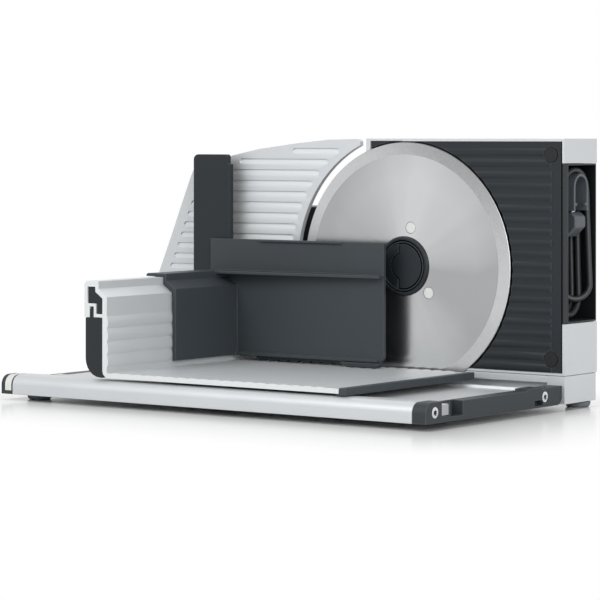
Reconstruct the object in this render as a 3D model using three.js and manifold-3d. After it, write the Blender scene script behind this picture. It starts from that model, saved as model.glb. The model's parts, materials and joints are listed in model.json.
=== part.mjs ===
// Electric food slicer: a round blade in an upright housing, a base with a sliding
// food carriage, a food pusher on the carriage wall, a movable stop plate and a
// compartment in the housing's side that holds the wound mains cord.
// Millimetres. X runs along the base, Y from the user's side to the back, Z up.
// Every piece is placed from the base's left front corner on the table; the last
// group moves the whole to the middle of its own footprint.

import * as THREE from 'three';
import { mergeVertices } from 'three/addons/utils/BufferGeometryUtils.js';
import Module from 'manifold-3d';

const wasm = await Module();
wasm.setup();

// Clearances that all pieces share
const seat = 0.3;      // gap between a piece and what it sits on
const over = 1.2;      // how far a cutting body runs past the face that it cuts

// Driving sizes. Each table is followed by the places that follow from it and from
// the pieces that it meets.
const base = {
  length: 360, bottom: 4.4, deck: 14.3, crestRise: 3.6, railLift: 3.9, guideLift: 2, nose: 7,
  noseSteps: 6, crestEnd: 14, deckStart: 50, railDepth: 16, railRise: 2, lip: 6.2, wall: 2.2,
  capLength: 10.2, chambers: 5, guideLean: 0.8, guideWidth: 2.8,
};
base.crest = base.deck + base.crestRise;
base.railTop = base.deck + base.railLift;
base.guideTop = base.deck + base.guideLift;
base.lipTop = base.bottom + base.wall;

const blade = {
  radius: 87, thickness: 1.8, bevel: 8.6, edge: 0.5, holeRadius: 5.4, faceY: 163,
  lipClearance: 1, bossCircle: 27.6, bossRadius: 3.9, bossCount: 3, bossStartDegrees: 78.4,
  sides: 96,
};
blade.z = base.lipTop + blade.lipClearance + blade.radius;

const panel = {
  inset: 0.9, ribProud: 0.7, thickness: 3.9, ribPitch: 7.72, ribWidth: 5.6, ribEnd: 8.6,
  firstRib: 7.5, gearGap: 1.6, capRadius: 5.4, capInset: 9, capHeight: 0.9, bladeGap: 1.3,
  recessDepth: 2.4,
};

const drive = {
  gearRadius: 31.6, gearThickness: 3.6, spindleRadius: 5, spindleInset: 3.1, plate: 5.9,
  wheelRadius: 20, wheelGap: 6, wheelWidth: 12, wormRadius: 6, wormDrop: 18.6, shaftRadius: 3,
  bracketLift: 23.4, bracket: 3, motorRadius: 17, motorDrop: 6.2, motorGap: 3.6, plateGap: 11.6,
  sides: 40, bearingSize: 28, boss: 9,
};
panel.gearHole = drive.gearRadius + panel.gearGap;

// The housing stands at the base's right end, round the blade and its drive
const housing = {
  overhang: 2, sideWall: 0.7, rightMargin: 42.6, topMargin: 2.6, setBack: 2, wall: 1.6,
  frame: 3.6, frameDepth: 5, vents: 9,
};
housing.right = base.length + housing.overhang;
blade.x = housing.right - housing.rightMargin - blade.radius;
housing.left = blade.x - panel.gearHole - housing.sideWall;
housing.top = blade.z + blade.radius + housing.topMargin;
housing.front = blade.faceY + housing.setBack;
panel.front = housing.front + panel.inset;
drive.plateFront = panel.front + panel.thickness + seat;
drive.plateBack = drive.plateFront + drive.plate;
drive.wheelFront = drive.plateBack + drive.wheelGap;
drive.wheelBack = drive.wheelFront + drive.wheelWidth;
drive.motorY = (drive.wheelFront + drive.wheelBack) / 2;
housing.back = drive.motorY + drive.motorRadius + drive.motorGap;
drive.spindleEnd = housing.back - drive.spindleInset;
drive.wormBottom = blade.z - drive.wormDrop;
drive.bracketBottom = blade.z + drive.bracketLift;
drive.bracketTop = drive.bracketBottom + drive.bracket;
drive.motorTop = housing.top - drive.motorDrop;

const plinth = {
  left: 24, top: 23.3, step: 0.5, skirt: 0.4, corner: 3, undercutRise: 1.4,
  undercutHeight: 10.4, undercutDepth: 6, undercutInset: 14,
};
plinth.right = housing.right;
plinth.front = housing.front + plinth.step;
plinth.back = housing.back + plinth.skirt;
plinth.undercutBottom = base.lipTop + plinth.undercutRise;
plinth.undercutTop = plinth.undercutBottom + plinth.undercutHeight;
plinth.undercutEnd = plinth.right - plinth.undercutInset;
housing.bottom = plinth.top + seat;
base.lipEnd = plinth.front - seat;
base.railEnd = base.lipEnd - base.lip;
base.railStart = base.railEnd - base.railDepth;

const foot = {
  radius: 9.2, topRadius: 8, inset: 18.4, front: 20, rightInset: 38, rightY: 70,
  backDepth: 9.8, backInset: 9.8, sides: 32,
};

const store = { inset: 0.4, depth: 63.6, topDrop: 17, height: 108.4, wall: 1.2 };
store.right = housing.right - store.inset;
store.left = store.right - store.depth;
store.front = panel.front + panel.thickness + seat;
store.back = housing.back - seat;
store.top = housing.top - store.topDrop;
store.bottom = store.top - store.height;

const cord = {
  diameter: 4.2, loops: 6, pitch: 5.3, firstPitch: 9, side: 1.1,
  outerInset: 2.7, foldSteps: 8, runSteps: 4, sides: 6, exitRadius: 9.6, endRun: 5.5,
  turnSteps: 6, leastGap: 0.4,
};
cord.outerX = store.right - cord.outerInset;
cord.foldRadius = (store.back - store.front - cord.diameter) / 2 - store.wall - cord.side;

const gland = { length: 4, radius: 3.2, mouthRadius: 2.7 };

const plug = {
  inset: 17, topDrop: 33.2, width: 32, thick: 14, height: 17, chamfer: 3.5, pinRadius: 2,
  pinLength: 17, pinSpacing: 18.6, tailLength: 27, tailTop: 6.2, tailEnd: 3.3, tailRibs: 7,
  ribDepth: 0.8, sides: 20,
};
plug.x = store.right - plug.inset;
plug.y = (store.front + store.back) / 2;
plug.top = store.top - plug.topDrop;

const horn = {
  halfWidth: 9.5, wall: 2, legs: 16, inset: 2, lowerReach: 40, peg: 2.4, pegShare: 0.72,
  steps: 8,
};
horn.reach = store.depth - horn.inset;

const hub = {
  radius: 21, height: 1.6, ringInner: 16.5, groove: 0.8, grooveOuter: 18.4, grooveDepth: 0.7,
  frontRadius: 20.6, lockProud: 0.2, bossRadius: 8.9, step: 0.6, raisedRadius: 15.5,
  splitInset: 2.4, pocket: 0.4, sides: 48,
};

const stopPlate = {
  thickness: 4, clearance: 5.7, lift: 0.7, topDrop: 0.2, tipInset: 0.9, gap: 3.9,
  groovePitch: 7.82, grooveWidth: 4.1, grooveDepth: 1, firstGroove: 10.5, grooveMargin: 5.4,
  leftMargin: 7, crownMargin: 4.2, cornerSteps: 4, lipShare: 0.2, travel: 20, arcSteps: 28,
};
stopPlate.bottom = plinth.top + stopPlate.lift;
stopPlate.top = housing.top - stopPlate.topDrop;
stopPlate.right = housing.left - stopPlate.gap;

const mech = {
  left: 62, gap: 29, depth: 40, height: 110.4, corner: 6, carrierInset: 8, carrierWidth: 54,
  carrierLift: 16.4, carrierHeight: 80, carrierThickness: 3.3, rodRadius: 4, rodDepth: 16,
  rodInset: 16,
};
mech.right = housing.left - seat;
mech.front = blade.faceY + mech.gap;
mech.back = mech.front + mech.depth;
mech.bottom = plinth.top + seat;
mech.top = mech.bottom + mech.height;
mech.carrierLeft = mech.left + mech.carrierInset;
mech.carrierRight = mech.carrierLeft + mech.carrierWidth;
mech.carrierBottom = mech.bottom + mech.carrierLift;
mech.carrierTop = mech.carrierBottom + mech.carrierHeight;
mech.rodX = (mech.carrierLeft + mech.carrierRight) / 2;
mech.rodLow = mech.carrierBottom + mech.rodInset;
mech.rodHigh = mech.carrierTop - mech.rodInset;
mech.rodEnd = mech.front + mech.rodDepth;

const knob = {
  radius: 19, length: 14, lift: 42.4, flutes: 16, fluteRadius: 1.7, shaftRadius: 4,
  shaftLength: 18, dial: 3,
};
knob.y = (mech.front + mech.back) / 2;
knob.z = mech.bottom + knob.lift;

const button = { radius: 7.5, proud: 5, travel: 3, stem: 8, drop: 22 };
button.y = knob.y;
button.z = mech.top - button.drop;

const latch = {
  length: 14, height: 7, proud: 3.5, stem: 3, travel: 5, inset: 48.2, drop: 16, slot: 4,
};
latch.x = mech.right - latch.inset;
latch.z = mech.top - latch.drop;

const carriage = {
  front: 5, backGap: 5, right: 289, wallInner: 93.1, wallThickness: 4, top: 86, floorGap: 1.4,
  floor: 3.3, headWidth: 20.2, headInset: 7.5, headSlope: 5.4, headWall: 2.9, skirt: 25,
  chamberRise: 2.4, slotInset: 4.8, slotWidth: 3.6, slotHeight: 7.4, hookWall: 2.1,
  ribPitch: 8.9, ribProud: 1.1, ribCount: 4, firstRib: 4.1, floorPitch: 9.6, floorProud: 0.5,
  floorLand: 0.9, cornerRadius: 5, floorMargin: 4, coreInset: 0.8,
};
carriage.back = blade.faceY - carriage.backGap;
carriage.left = carriage.wallInner - carriage.headWidth;
carriage.headRight = carriage.wallInner - carriage.headInset;
carriage.headStep = carriage.top - carriage.headSlope;
carriage.shoulder = carriage.headStep - carriage.headSlope;
carriage.bottom = base.railTop + carriage.floorGap;
carriage.floorTop = carriage.bottom + carriage.floor;
carriage.skirtBottom = carriage.top - carriage.skirt;
carriage.chamberFloor = carriage.skirtBottom + carriage.chamberRise;
carriage.slotLeft = carriage.left + carriage.slotInset;
carriage.slotRight = carriage.slotLeft + carriage.slotWidth;
carriage.slotTop = carriage.skirtBottom + carriage.slotHeight;

// A wall rib's section, from its foot to its top: shares of its pitch and of its height
const ribShares = [[0.1, 0.62], [0.26, 0.95], [0.45, 1], [0.68, 0.72], [0.88, 0.26]];

// A floor rib's section, across the floor
const floorShares = [[0.16, 0.7], [0.36, 1], [0.64, 1], [0.84, 0.7]];

const grip = { inset: 0.9, radius: 13, steps: 6, tongue: 6, cornerDegrees: 215 };

const strip = { lap: 2.4, reach: 5.6, drop: 1.1, rise: 0.5 };
strip.left = carriage.right - strip.lap;
strip.right = carriage.right + strip.reach;
strip.bottom = carriage.bottom - strip.drop;
strip.top = carriage.floorTop + strip.rise;

const pad = { length: 18, width: 9, leftInset: 18.9, rightInset: 61, frontY: 62, backInset: 32 };

const pusher = {
  depth: 12, plate: 3.2, saddleFront: 75, saddlePlate: 2.8, right: 226.6, floorGap: 4.3,
  shieldRise: 25.2, ledgeDepth: 14, ledgeRightDepth: 6, ledge: 2.2, lip: 2, lipHeight: 1.6,
  lipInset: 24.9, lipRightInset: 35.9, flange: 2.6, ribLip: 2.2, corner: 4.5,
};
pusher.front = carriage.back - pusher.depth;
pusher.ledgeFront = pusher.front - pusher.ledgeDepth;
pusher.ledgeRightFront = pusher.front - pusher.ledgeRightDepth;
pusher.bottom = carriage.floorTop + pusher.floorGap;
pusher.shieldTop = carriage.top + pusher.shieldRise;
pusher.flangeLeft = carriage.left - pusher.flange;
pusher.lipLeft = carriage.wallInner + pusher.lipInset;
pusher.lipRight = pusher.right - pusher.lipRightInset;

const post = {
  width: 33.7, lap: 1.8, thickness: 5, rise: 86.6, corner: 4, notch: 2.2, notchDrop: 7,
};
post.right = carriage.headRight + post.lap;
post.left = post.right - post.width;
post.top = carriage.top + post.rise;

const toe = { width: 32, inset: 2.6, slope: 4, depth: 14, backInset: 0.6 };
toe.right = pusher.right - toe.inset;
toe.left = toe.right - toe.width;

const comb = { inset: 18.9, gap: 4, pitch: 9.8, depth: 1.6, thickness: 2.4, height: 9 };
comb.left = carriage.wallInner + comb.inset;
comb.right = toe.left - comb.gap;

const capParts = {
  blockDepth: 18.6, notchDepth: 8.6, notchRise: 3.9, recessDepth: 15.7, recessRise: 2.8,
  recessInset: 8.6, barDrop: 1.3, raisedDepth: 17.7, raisedInset: 25.7, holeDepth: 10.2,
  holeBackInset: 24.4, holeRise: 1.4, holeHeight: 3.6, holeInset: 5, screwRise: 6.7,
  screwFront: 11.5, screwBackInset: 20.9, screwRadius: 3.8, screwDepth: 3, socket: 1.7,
  socketDepth: 1.4, backCorner: 6, inlayLeft: 3.4, inlayRight: 9.2, inlayRise: 2.5,
  inlayDepth: 1.2, inlayEnd: 60,
};
capParts.notchBottom = base.bottom + capParts.notchRise;
capParts.recessBottom = base.bottom + capParts.recessRise;
capParts.barTop = base.crest - capParts.barDrop;
capParts.raisedBack = base.lipEnd - capParts.raisedInset;
capParts.raisedFront = capParts.raisedBack - capParts.raisedDepth;
capParts.holeBack = base.lipEnd - capParts.holeBackInset;
capParts.holeFront = capParts.holeBack - capParts.holeDepth;
capParts.holeBottom = base.bottom + capParts.holeRise;
capParts.holeTop = capParts.holeBottom + capParts.holeHeight;
capParts.screwZ = base.bottom + capParts.screwRise;
capParts.screwBack = base.lipEnd - capParts.screwBackInset;
capParts.inlayBottom = base.bottom + capParts.inlayRise;

// Finishes, as they look in daylight
function finish(color, roughness, metalness) {
  return new THREE.MeshStandardMaterial({ color, roughness, metalness });
}

const lightMetal = finish(0xc9cdcf, 0.42, 0.6);
const bladeSteel = finish(0xc4c6c7, 0.3, 0.95);
const darkPlastic = finish(0x3a4045, 0.62, 0.0);
const blackPlastic = finish(0x14171a, 0.55, 0.0);
const paleInlay = finish(0xe4e4e0, 0.5, 0.0);
const paleNylon = finish(0xe9e9e6, 0.45, 0.0);
const brightSteel = finish(0xdadcdd, 0.25, 0.9);
const rubber = finish(0x2b2d2e, 0.85, 0.0);
const cordSkin = finish(0x50565b, 0.6, 0.0);
const motorSteel = finish(0x8f9498, 0.4, 0.8);

// Solids from three.js geometry, so that they can be joined and cut
function solid(geometry) {
  geometry.deleteAttribute('normal');
  geometry.deleteAttribute('uv');
  const merged = mergeVertices(geometry);
  return new wasm.Manifold(new wasm.Mesh({
    numProp: 3,
    vertProperties: new Float32Array(merged.attributes.position.array),
    triVerts: new Uint32Array(merged.index.array),
  }));
}

function block(x0, x1, y0, y1, z0, z1) {
  const geometry = new THREE.BoxGeometry(x1 - x0, y1 - y0, z1 - z0);
  geometry.translate((x0 + x1) / 2, (y0 + y1) / 2, (z0 + z1) / 2);
  return solid(geometry);
}

// The directions that an outline's two coordinates and its depth take
const frames = {
  x: new THREE.Matrix4().makeBasis(
    new THREE.Vector3(0, 1, 0), new THREE.Vector3(0, 0, 1), new THREE.Vector3(1, 0, 0)),
  y: new THREE.Matrix4().makeBasis(
    new THREE.Vector3(1, 0, 0), new THREE.Vector3(0, 0, 1), new THREE.Vector3(0, -1, 0)),
  z: new THREE.Matrix4(),
};

// An outline drawn across the given axis and drawn out along it from start to end
function prism(axis, outline, start, end) {
  const geometry = new THREE.ExtrudeGeometry(
    new THREE.Shape(outline.map(([u, v]) => new THREE.Vector2(u, v))),
    { depth: end - start, bevelEnabled: false });
  geometry.applyMatrix4(frames[axis]);
  if (axis === 'x') geometry.translate(start, 0, 0);
  if (axis === 'y') geometry.translate(0, end, 0);
  if (axis === 'z') geometry.translate(0, 0, start);
  return solid(geometry);
}

// A round bar or cone along an axis; u and v place its centre across that axis
function bar(axis, u, v, start, end, radius, sides, endRadius = radius) {
  const geometry = new THREE.CylinderGeometry(endRadius, radius, end - start, sides);
  if (axis === 'x') geometry.rotateZ(-Math.PI / 2);
  if (axis === 'z') geometry.rotateX(Math.PI / 2);
  const middle = (start + end) / 2;
  if (axis === 'x') geometry.translate(middle, u, v);
  if (axis === 'y') geometry.translate(u, middle, v);
  if (axis === 'z') geometry.translate(u, v, middle);
  return solid(geometry);
}

// Points on an arc, in degrees from the first coordinate's direction
function arc(u, v, radius, from, to, steps) {
  const points = [];
  for (let i = 0; i <= steps; i += 1) {
    const a = THREE.MathUtils.degToRad(from + ((to - from) * i) / steps);
    points.push([u + radius * Math.cos(a), v + radius * Math.sin(a)]);
  }
  return points;
}

function join(bodies) {
  return bodies.reduce((sum, body) => sum.add(body));
}

function cut(body, cutters) {
  return cutters.reduce((rest, cutter) => rest.subtract(cutter), body);
}

const slicer = new THREE.Group();

function piece(name, body, material, parent = slicer) {
  const raw = body.getMesh();
  const geometry = new THREE.BufferGeometry();
  geometry.setAttribute('position', new THREE.BufferAttribute(
    new Float32Array(raw.vertProperties), 3));
  geometry.setIndex(new THREE.BufferAttribute(new Uint32Array(raw.triVerts), 1));
  geometry.computeVertexNormals();
  const mesh = new THREE.Mesh(geometry, material);
  mesh.name = name;
  parent.add(mesh);
  return mesh;
}

// Base: a hollow extrusion between two moulded end caps
function baseFrontOutline() {
  return [
    ...arc(base.nose, base.crest - base.nose, base.nose, 180, 90, base.noseSteps),
    [base.crestEnd, base.crest],
    [base.deckStart, base.deck],
    [base.railStart, base.deck],
  ];
}

function makeBase() {
  // behind the deck stands a low guide for the carriage, and a deep slot behind that
  const guideBack = base.railStart + base.guideLean + base.guideWidth;
  const outline = [
    [0, base.bottom],
    ...baseFrontOutline(),
    [base.railStart + base.guideLean, base.guideTop],
    [guideBack, base.guideTop],
    [guideBack, base.lipTop],
    [base.lipEnd, base.lipTop],
    [base.lipEnd, base.bottom],
  ];
  const from = base.capLength + seat;
  const to = base.length - base.capLength - seat;
  let body = prism('x', outline, from, to);
  const span = (base.railStart - base.wall) / base.chambers;
  for (let i = 0; i < base.chambers; i += 1) {
    const near = base.wall + i * span;
    body = body.subtract(block(
      from - over, to + over,
      near + (i === 0 ? base.wall : 0), near + span - base.wall,
      base.bottom + base.wall, base.deck - base.wall));
  }
  // the front beam's end shows in the right cap's notch
  const c = capParts;
  const tongue = block(to - base.wall, base.length - seat, c.blockDepth + seat,
    c.blockDepth + c.notchDepth - seat, c.notchBottom + seat, base.crest - base.wall);
  piece('base_extrusion', body.add(tongue), lightMetal);
}

function makeLeftCap() {
  const outline = [
    [0, base.bottom],
    ...baseFrontOutline(),
    [base.railStart + base.railRise, base.railTop],
    [base.railEnd, base.railTop],
    [base.railEnd, base.lipTop],
    [base.lipEnd, base.lipTop],
    [base.lipEnd, base.bottom],
  ];
  const c = capParts;
  const inlayOutline = [
    [0, c.inlayBottom],
    ...arc(base.nose, base.crest - base.nose, base.nose, 180, 90, base.noseSteps),
    [base.crestEnd, base.crest],
    [base.deckStart, base.deck],
    [c.inlayEnd, base.deck],
    [c.inlayEnd, base.deck - c.inlayDepth],
    [base.deckStart, base.deck - c.inlayDepth],
    [base.crestEnd, base.crest - c.inlayDepth],
    ...arc(base.nose, base.crest - base.nose, base.nose - c.inlayDepth, 90, 180, base.noseSteps),
    [c.inlayDepth, c.inlayBottom],
  ];
  const grown = [
    [-over, c.inlayBottom - seat],
    [-over, base.crest + over],
    [c.inlayEnd + seat, base.crest + over],
    [c.inlayEnd + seat, base.deck - c.inlayDepth - seat],
    [base.deckStart, base.deck - c.inlayDepth - seat],
    [base.crestEnd, base.crest - c.inlayDepth - seat],
    ...arc(base.nose, base.crest - base.nose, base.nose - c.inlayDepth - seat, 90, 180,
      base.noseSteps),
    [c.inlayDepth + seat, c.inlayBottom - seat],
  ];
  const groove = prism('x', grown, c.inlayLeft - seat, c.inlayRight + seat);
  piece('base_left_cap', cut(prism('x', outline, 0, base.capLength), [groove]), darkPlastic);
  piece('left_cap_inlay', prism('x', inlayOutline, c.inlayLeft, c.inlayRight), paleInlay);
}

function makeRightCap() {
  const c = capParts;
  const from = base.length - base.capLength;
  const notchBack = c.blockDepth + c.notchDepth;
  const recessBack = notchBack + c.recessDepth;
  const outline = [
    [0, base.bottom],
    ...arc(base.nose, base.crest - base.nose, base.nose, 180, 90, base.noseSteps),
    [c.blockDepth, base.crest],
    [c.blockDepth, c.notchBottom],
    [notchBack, c.notchBottom],
    [notchBack, c.barTop],
    [c.raisedFront, c.barTop],
    [c.raisedFront, base.crest],
    [c.raisedBack, base.crest],
    [c.raisedBack, c.barTop],
    [base.railStart + base.railRise, c.barTop],
    [base.railStart + base.railRise, base.railTop - base.wall / 2],
    [base.lipEnd, base.railTop - base.wall / 2],
    ...arc(base.lipEnd - c.backCorner, base.bottom + c.backCorner, c.backCorner, 0, -90,
      base.noseSteps),
  ];
  const face = base.length;
  const cutters = [
    block(face - c.recessInset, face + over, notchBack + base.wall / 2, recessBack,
      c.recessBottom, c.barTop + over),
    block(face - c.holeInset, face + over, c.holeFront, c.holeBack, c.holeBottom, c.holeTop),
  ];
  for (const y of [c.screwFront, c.screwBack]) {
    cutters.push(bar('x', y, c.screwZ, face - c.screwDepth - seat, face + over,
      c.screwRadius + seat, 24));
  }
  piece('base_right_cap', cut(prism('x', outline, from, face), cutters), darkPlastic);
  for (const [name, y] of [['cap_screw_front', c.screwFront], ['cap_screw_back', c.screwBack]]) {
    const head = bar('x', y, c.screwZ, face - c.screwDepth, face - seat, c.screwRadius, 24);
    const socket = bar('x', y, c.screwZ, face - seat - c.socketDepth, face + over, c.socket, 6);
    piece(name, cut(head, [socket]), brightSteel);
  }
}

function makeFeet() {
  const back = plinth.back - foot.backDepth;
  const places = [
    ['foot_front_left', foot.inset, foot.front],
    ['foot_front_right', base.length - foot.rightInset, foot.rightY],
    ['foot_back_left', plinth.left + foot.inset, back],
    ['foot_back_right', plinth.right - foot.backInset, back],
  ];
  for (const [name, x, y] of places) {
    piece(name, bar('z', x, y, 0, base.bottom - seat, foot.topRadius, foot.sides, foot.radius),
      rubber);
  }
}

// Housing: plinth, metal shell, ribbed front panel and back cover
function makePlinth() {
  const p = plinth;
  const outline = [
    [p.left, p.front],
    [p.right, p.front],
    ...arc(p.right - p.corner, p.back - p.corner, p.corner, 0, 90, base.noseSteps),
    ...arc(p.left + p.corner, p.back - p.corner, p.corner, 90, 180, base.noseSteps),
  ];
  // the slot behind the carriage guide runs on under the plinth's front edge
  const undercut = block(p.left - over, p.undercutEnd, p.front - over, p.front + p.undercutDepth,
    p.undercutBottom, p.undercutTop);
  piece('housing_plinth', cut(prism('z', outline, base.bottom, p.top), [undercut]), lightMetal);
}

function makeShell() {
  const h = housing;
  const shell = cut(block(h.left, h.right, h.front, h.back, h.bottom, h.top), [
    block(h.left + h.wall, h.right - h.wall, h.front - over, h.back + over,
      h.bottom + h.wall, h.top - h.wall),
    block(h.right - h.wall - over, h.right + over, h.front - over, h.back + over,
      store.bottom - seat, store.top + seat),
  ]);
  // a wider frame at the left edge, hollowed round for the drive disc
  const frame = cut(block(h.left, h.left + h.frame, h.front, h.front + h.frameDepth,
    h.bottom, h.top), [bar('y', blade.x, blade.z, h.front - over, h.front + h.frameDepth + over,
    panel.gearHole, blade.sides)]);
  piece('housing_shell', shell.add(frame), lightMetal);
}

function makePanel() {
  const h = housing;
  const p = panel;
  const left = h.left + h.frame + seat;
  const right = h.right - h.wall - seat;
  const bottom = h.bottom + h.wall + seat;
  const top = h.top - h.wall - seat;
  let body = block(left, right, p.front, p.front + p.thickness, bottom, top);
  const ribs = Math.floor((top - bottom - p.firstRib) / p.ribPitch) + 1;
  for (let i = 0; i < ribs; i += 1) {
    const z = top - p.firstRib - i * p.ribPitch;
    const half = p.ribWidth / 2;
    const rib = [
      [p.front + over / 2, z - half],
      [p.front + over / 2, z + half],
      [p.front, z + half],
      [p.front - p.ribProud, z + half / 2],
      [p.front - p.ribProud, z - half / 2],
      [p.front, z - half],
    ];
    body = body.add(prism('x', rib, left, right - p.ribEnd));
  }
  const capX = right - p.capInset;
  const capZ = [bottom + p.capInset, top - p.capInset];
  const cutters = [bar('y', blade.x, blade.z, p.front - over, p.front + p.thickness + over,
    p.gearHole, drive.sides)];
  // a round recess that the blade runs in, with a narrow gap all round
  cutters.push(bar('y', blade.x, blade.z, p.front - over, p.front + p.recessDepth,
    blade.radius + p.bladeGap, blade.sides));
  for (const z of capZ) {
    cutters.push(bar('y', capX, z, p.front - over, p.front + p.capHeight, p.capRadius + seat, 24));
  }
  // no rib hangs below the panel's lower edge
  cutters.push(block(left - over, right + over, p.front - p.ribProud - over,
    p.front + p.thickness + over, bottom - p.ribWidth, bottom));
  piece('front_panel', cut(body, cutters), darkPlastic);
  for (const [name, z] of [['panel_screw_cap_low', capZ[0]], ['panel_screw_cap_high', capZ[1]]]) {
    piece(name, bar('y', capX, z, p.front - p.ribProud, p.front + p.capHeight - seat,
      p.capRadius, 24), darkPlastic);
  }
}

function makeBackCover() {
  const h = housing;
  const left = h.left + h.wall + seat;
  const right = h.right - h.wall - seat;
  const bottom = h.bottom + h.wall + seat;
  const top = h.top - h.wall - seat;
  const front = h.back - h.wall - seat;
  const notch = block(store.left - seat, right + over, front - over, h.back + over,
    store.bottom - seat, store.top + seat);
  const cutters = [notch];
  // upright vents, in a band above the lower edge
  const pitch = (store.left - left) / (h.vents + 3);
  for (let i = 0; i < h.vents; i += 1) {
    const x = left + pitch * (i + 2);
    cutters.push(block(x, x + pitch / 3, front - over, h.back + over,
      bottom + pitch * 2, bottom + pitch * 5));
  }
  piece('back_cover', cut(block(left, right, front, h.back - seat, bottom, top), cutters),
    darkPlastic);
}

// Cord compartment in the housing's right side, with its two winding horns
function makeStore() {
  const s = store;
  const body = cut(block(s.left, s.right, s.front, s.back, s.bottom, s.top), [
    block(s.left + s.wall, s.right + over, s.front + s.wall, s.back - s.wall,
      s.bottom + s.wall, s.top - s.wall),
  ]);
  piece('cord_compartment', body, blackPlastic);
}

const storeMiddle = plug.y;
const foldOuter = cord.foldRadius + cord.diameter / 2;
const foldTop = store.top - store.wall - cord.side - foldOuter;
const foldBottom = store.bottom + store.wall + cord.side + foldOuter;

// An arch that the cord's folds lie over, with two small pegs between its legs
function makeHorn(name, sign, foldCentre, reach) {
  const inner = cord.foldRadius - cord.diameter / 2 - seat;
  const centre = foldCentre + sign * (inner - horn.halfWidth);
  const legs = centre - sign * horn.legs;
  const turn = sign > 0 ? [0, 180] : [360, 180];
  const outline = [
    [storeMiddle + horn.halfWidth, legs],
    ...arc(storeMiddle, centre, horn.halfWidth, turn[0], turn[1], horn.steps),
    [storeMiddle - horn.halfWidth, legs],
    [storeMiddle - horn.halfWidth + horn.wall, legs],
    ...arc(storeMiddle, centre, horn.halfWidth - horn.wall, turn[1], turn[0], horn.steps),
    [storeMiddle + horn.halfWidth - horn.wall, legs],
  ];
  const from = store.left + store.wall + seat;
  let body = prism('x', outline, from, from + reach);
  const pegZ = centre - sign * horn.legs * horn.pegShare;
  for (const side of [-1, 1]) {
    const face = storeMiddle + side * (horn.halfWidth - horn.wall / 2);
    const tip = face - side * (horn.peg + horn.wall / 2);
    body = body.add(block(from + reach - horn.wall, from + reach,
      Math.min(face, tip), Math.max(face, tip), pegZ - horn.wall / 2, pegZ + horn.wall / 2));
  }
  piece(name, body, darkPlastic);
}

// The wound cord: one path from the plug's tail, round the horns, into the gland
const glandX = store.left + store.wall + seat;
const tailEndZ = plug.top - plug.height - plug.tailLength;

function cordPath() {
  const c = cord;
  const near = storeMiddle - c.foldRadius;
  const far = storeMiddle + c.foldRadius;
  const points = [];
  const start = new THREE.Vector3(plug.x, plug.y, tailEndZ - seat);
  const turnFrom = new THREE.Vector3(plug.x, plug.y, tailEndZ - seat - c.endRun);
  points.push(start, turnFrom);
  // a leaning half turn, from under the plug to the outermost run
  const across = new THREE.Vector3(c.outerX - plug.x, far - plug.y, 0);
  const radius = across.length() / 2;
  const centre = turnFrom.clone().addScaledVector(across, 1 / 2);
  for (let i = 1; i <= c.turnSteps * 2; i += 1) {
    const a = (Math.PI * i) / (c.turnSteps * 2);
    points.push(new THREE.Vector3(
      centre.x - (across.x / 2) * Math.cos(a),
      centre.y - (across.y / 2) * Math.cos(a),
      centre.z - radius * Math.sin(a)));
  }
  // the loops, each a share of the pitch further in
  const firstZ = turnFrom.z;
  const run = foldTop - foldBottom;
  const loopLength = 2 * run + 2 * Math.PI * c.foldRadius;
  let travelled = 0;
  const place = (y, z) => {
    const turns = travelled / loopLength;
    const depth = c.firstPitch * Math.min(turns, 1) + c.pitch * Math.max(turns - 1, 0);
    points.push(new THREE.Vector3(c.outerX - depth, y, z));
  };
  const straight = (y, fromZ, toZ, steps) => {
    for (let i = 1; i <= steps; i += 1) {
      travelled += Math.abs(toZ - fromZ) / steps;
      place(y, fromZ + ((toZ - fromZ) * i) / steps);
    }
  };
  const fold = (z, sign) => {
    for (let i = 1; i <= c.foldSteps; i += 1) {
      const a = (Math.PI * i) / c.foldSteps;
      travelled += (Math.PI * c.foldRadius) / c.foldSteps;
      place(storeMiddle + sign * c.foldRadius * Math.cos(a), z + sign * c.foldRadius * Math.sin(a));
    }
  };
  straight(far, firstZ, foldTop, c.runSteps);
  for (let i = 0; i < c.loops; i += 1) {
    fold(foldTop, 1);
    straight(near, foldTop, foldBottom, c.runSteps);
    fold(foldBottom, -1);
    if (i < c.loops - 1) straight(far, foldBottom, foldTop, c.runSteps);
  }
  // up the last run, then a quarter turn into the gland
  const middle = (foldTop + foldBottom) / 2;
  straight(far, foldBottom, middle, c.runSteps / 2);
  const last = points[points.length - 1];
  for (let i = 1; i <= c.turnSteps; i += 1) {
    const a = (Math.PI * i) / (2 * c.turnSteps);
    points.push(new THREE.Vector3(
      last.x - c.exitRadius * (1 - Math.cos(a)), far, last.z + c.exitRadius * Math.sin(a)));
  }
  const end = points[points.length - 1];
  points.push(new THREE.Vector3(glandX + gland.length + seat, far, end.z));
  return points;
}

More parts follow.
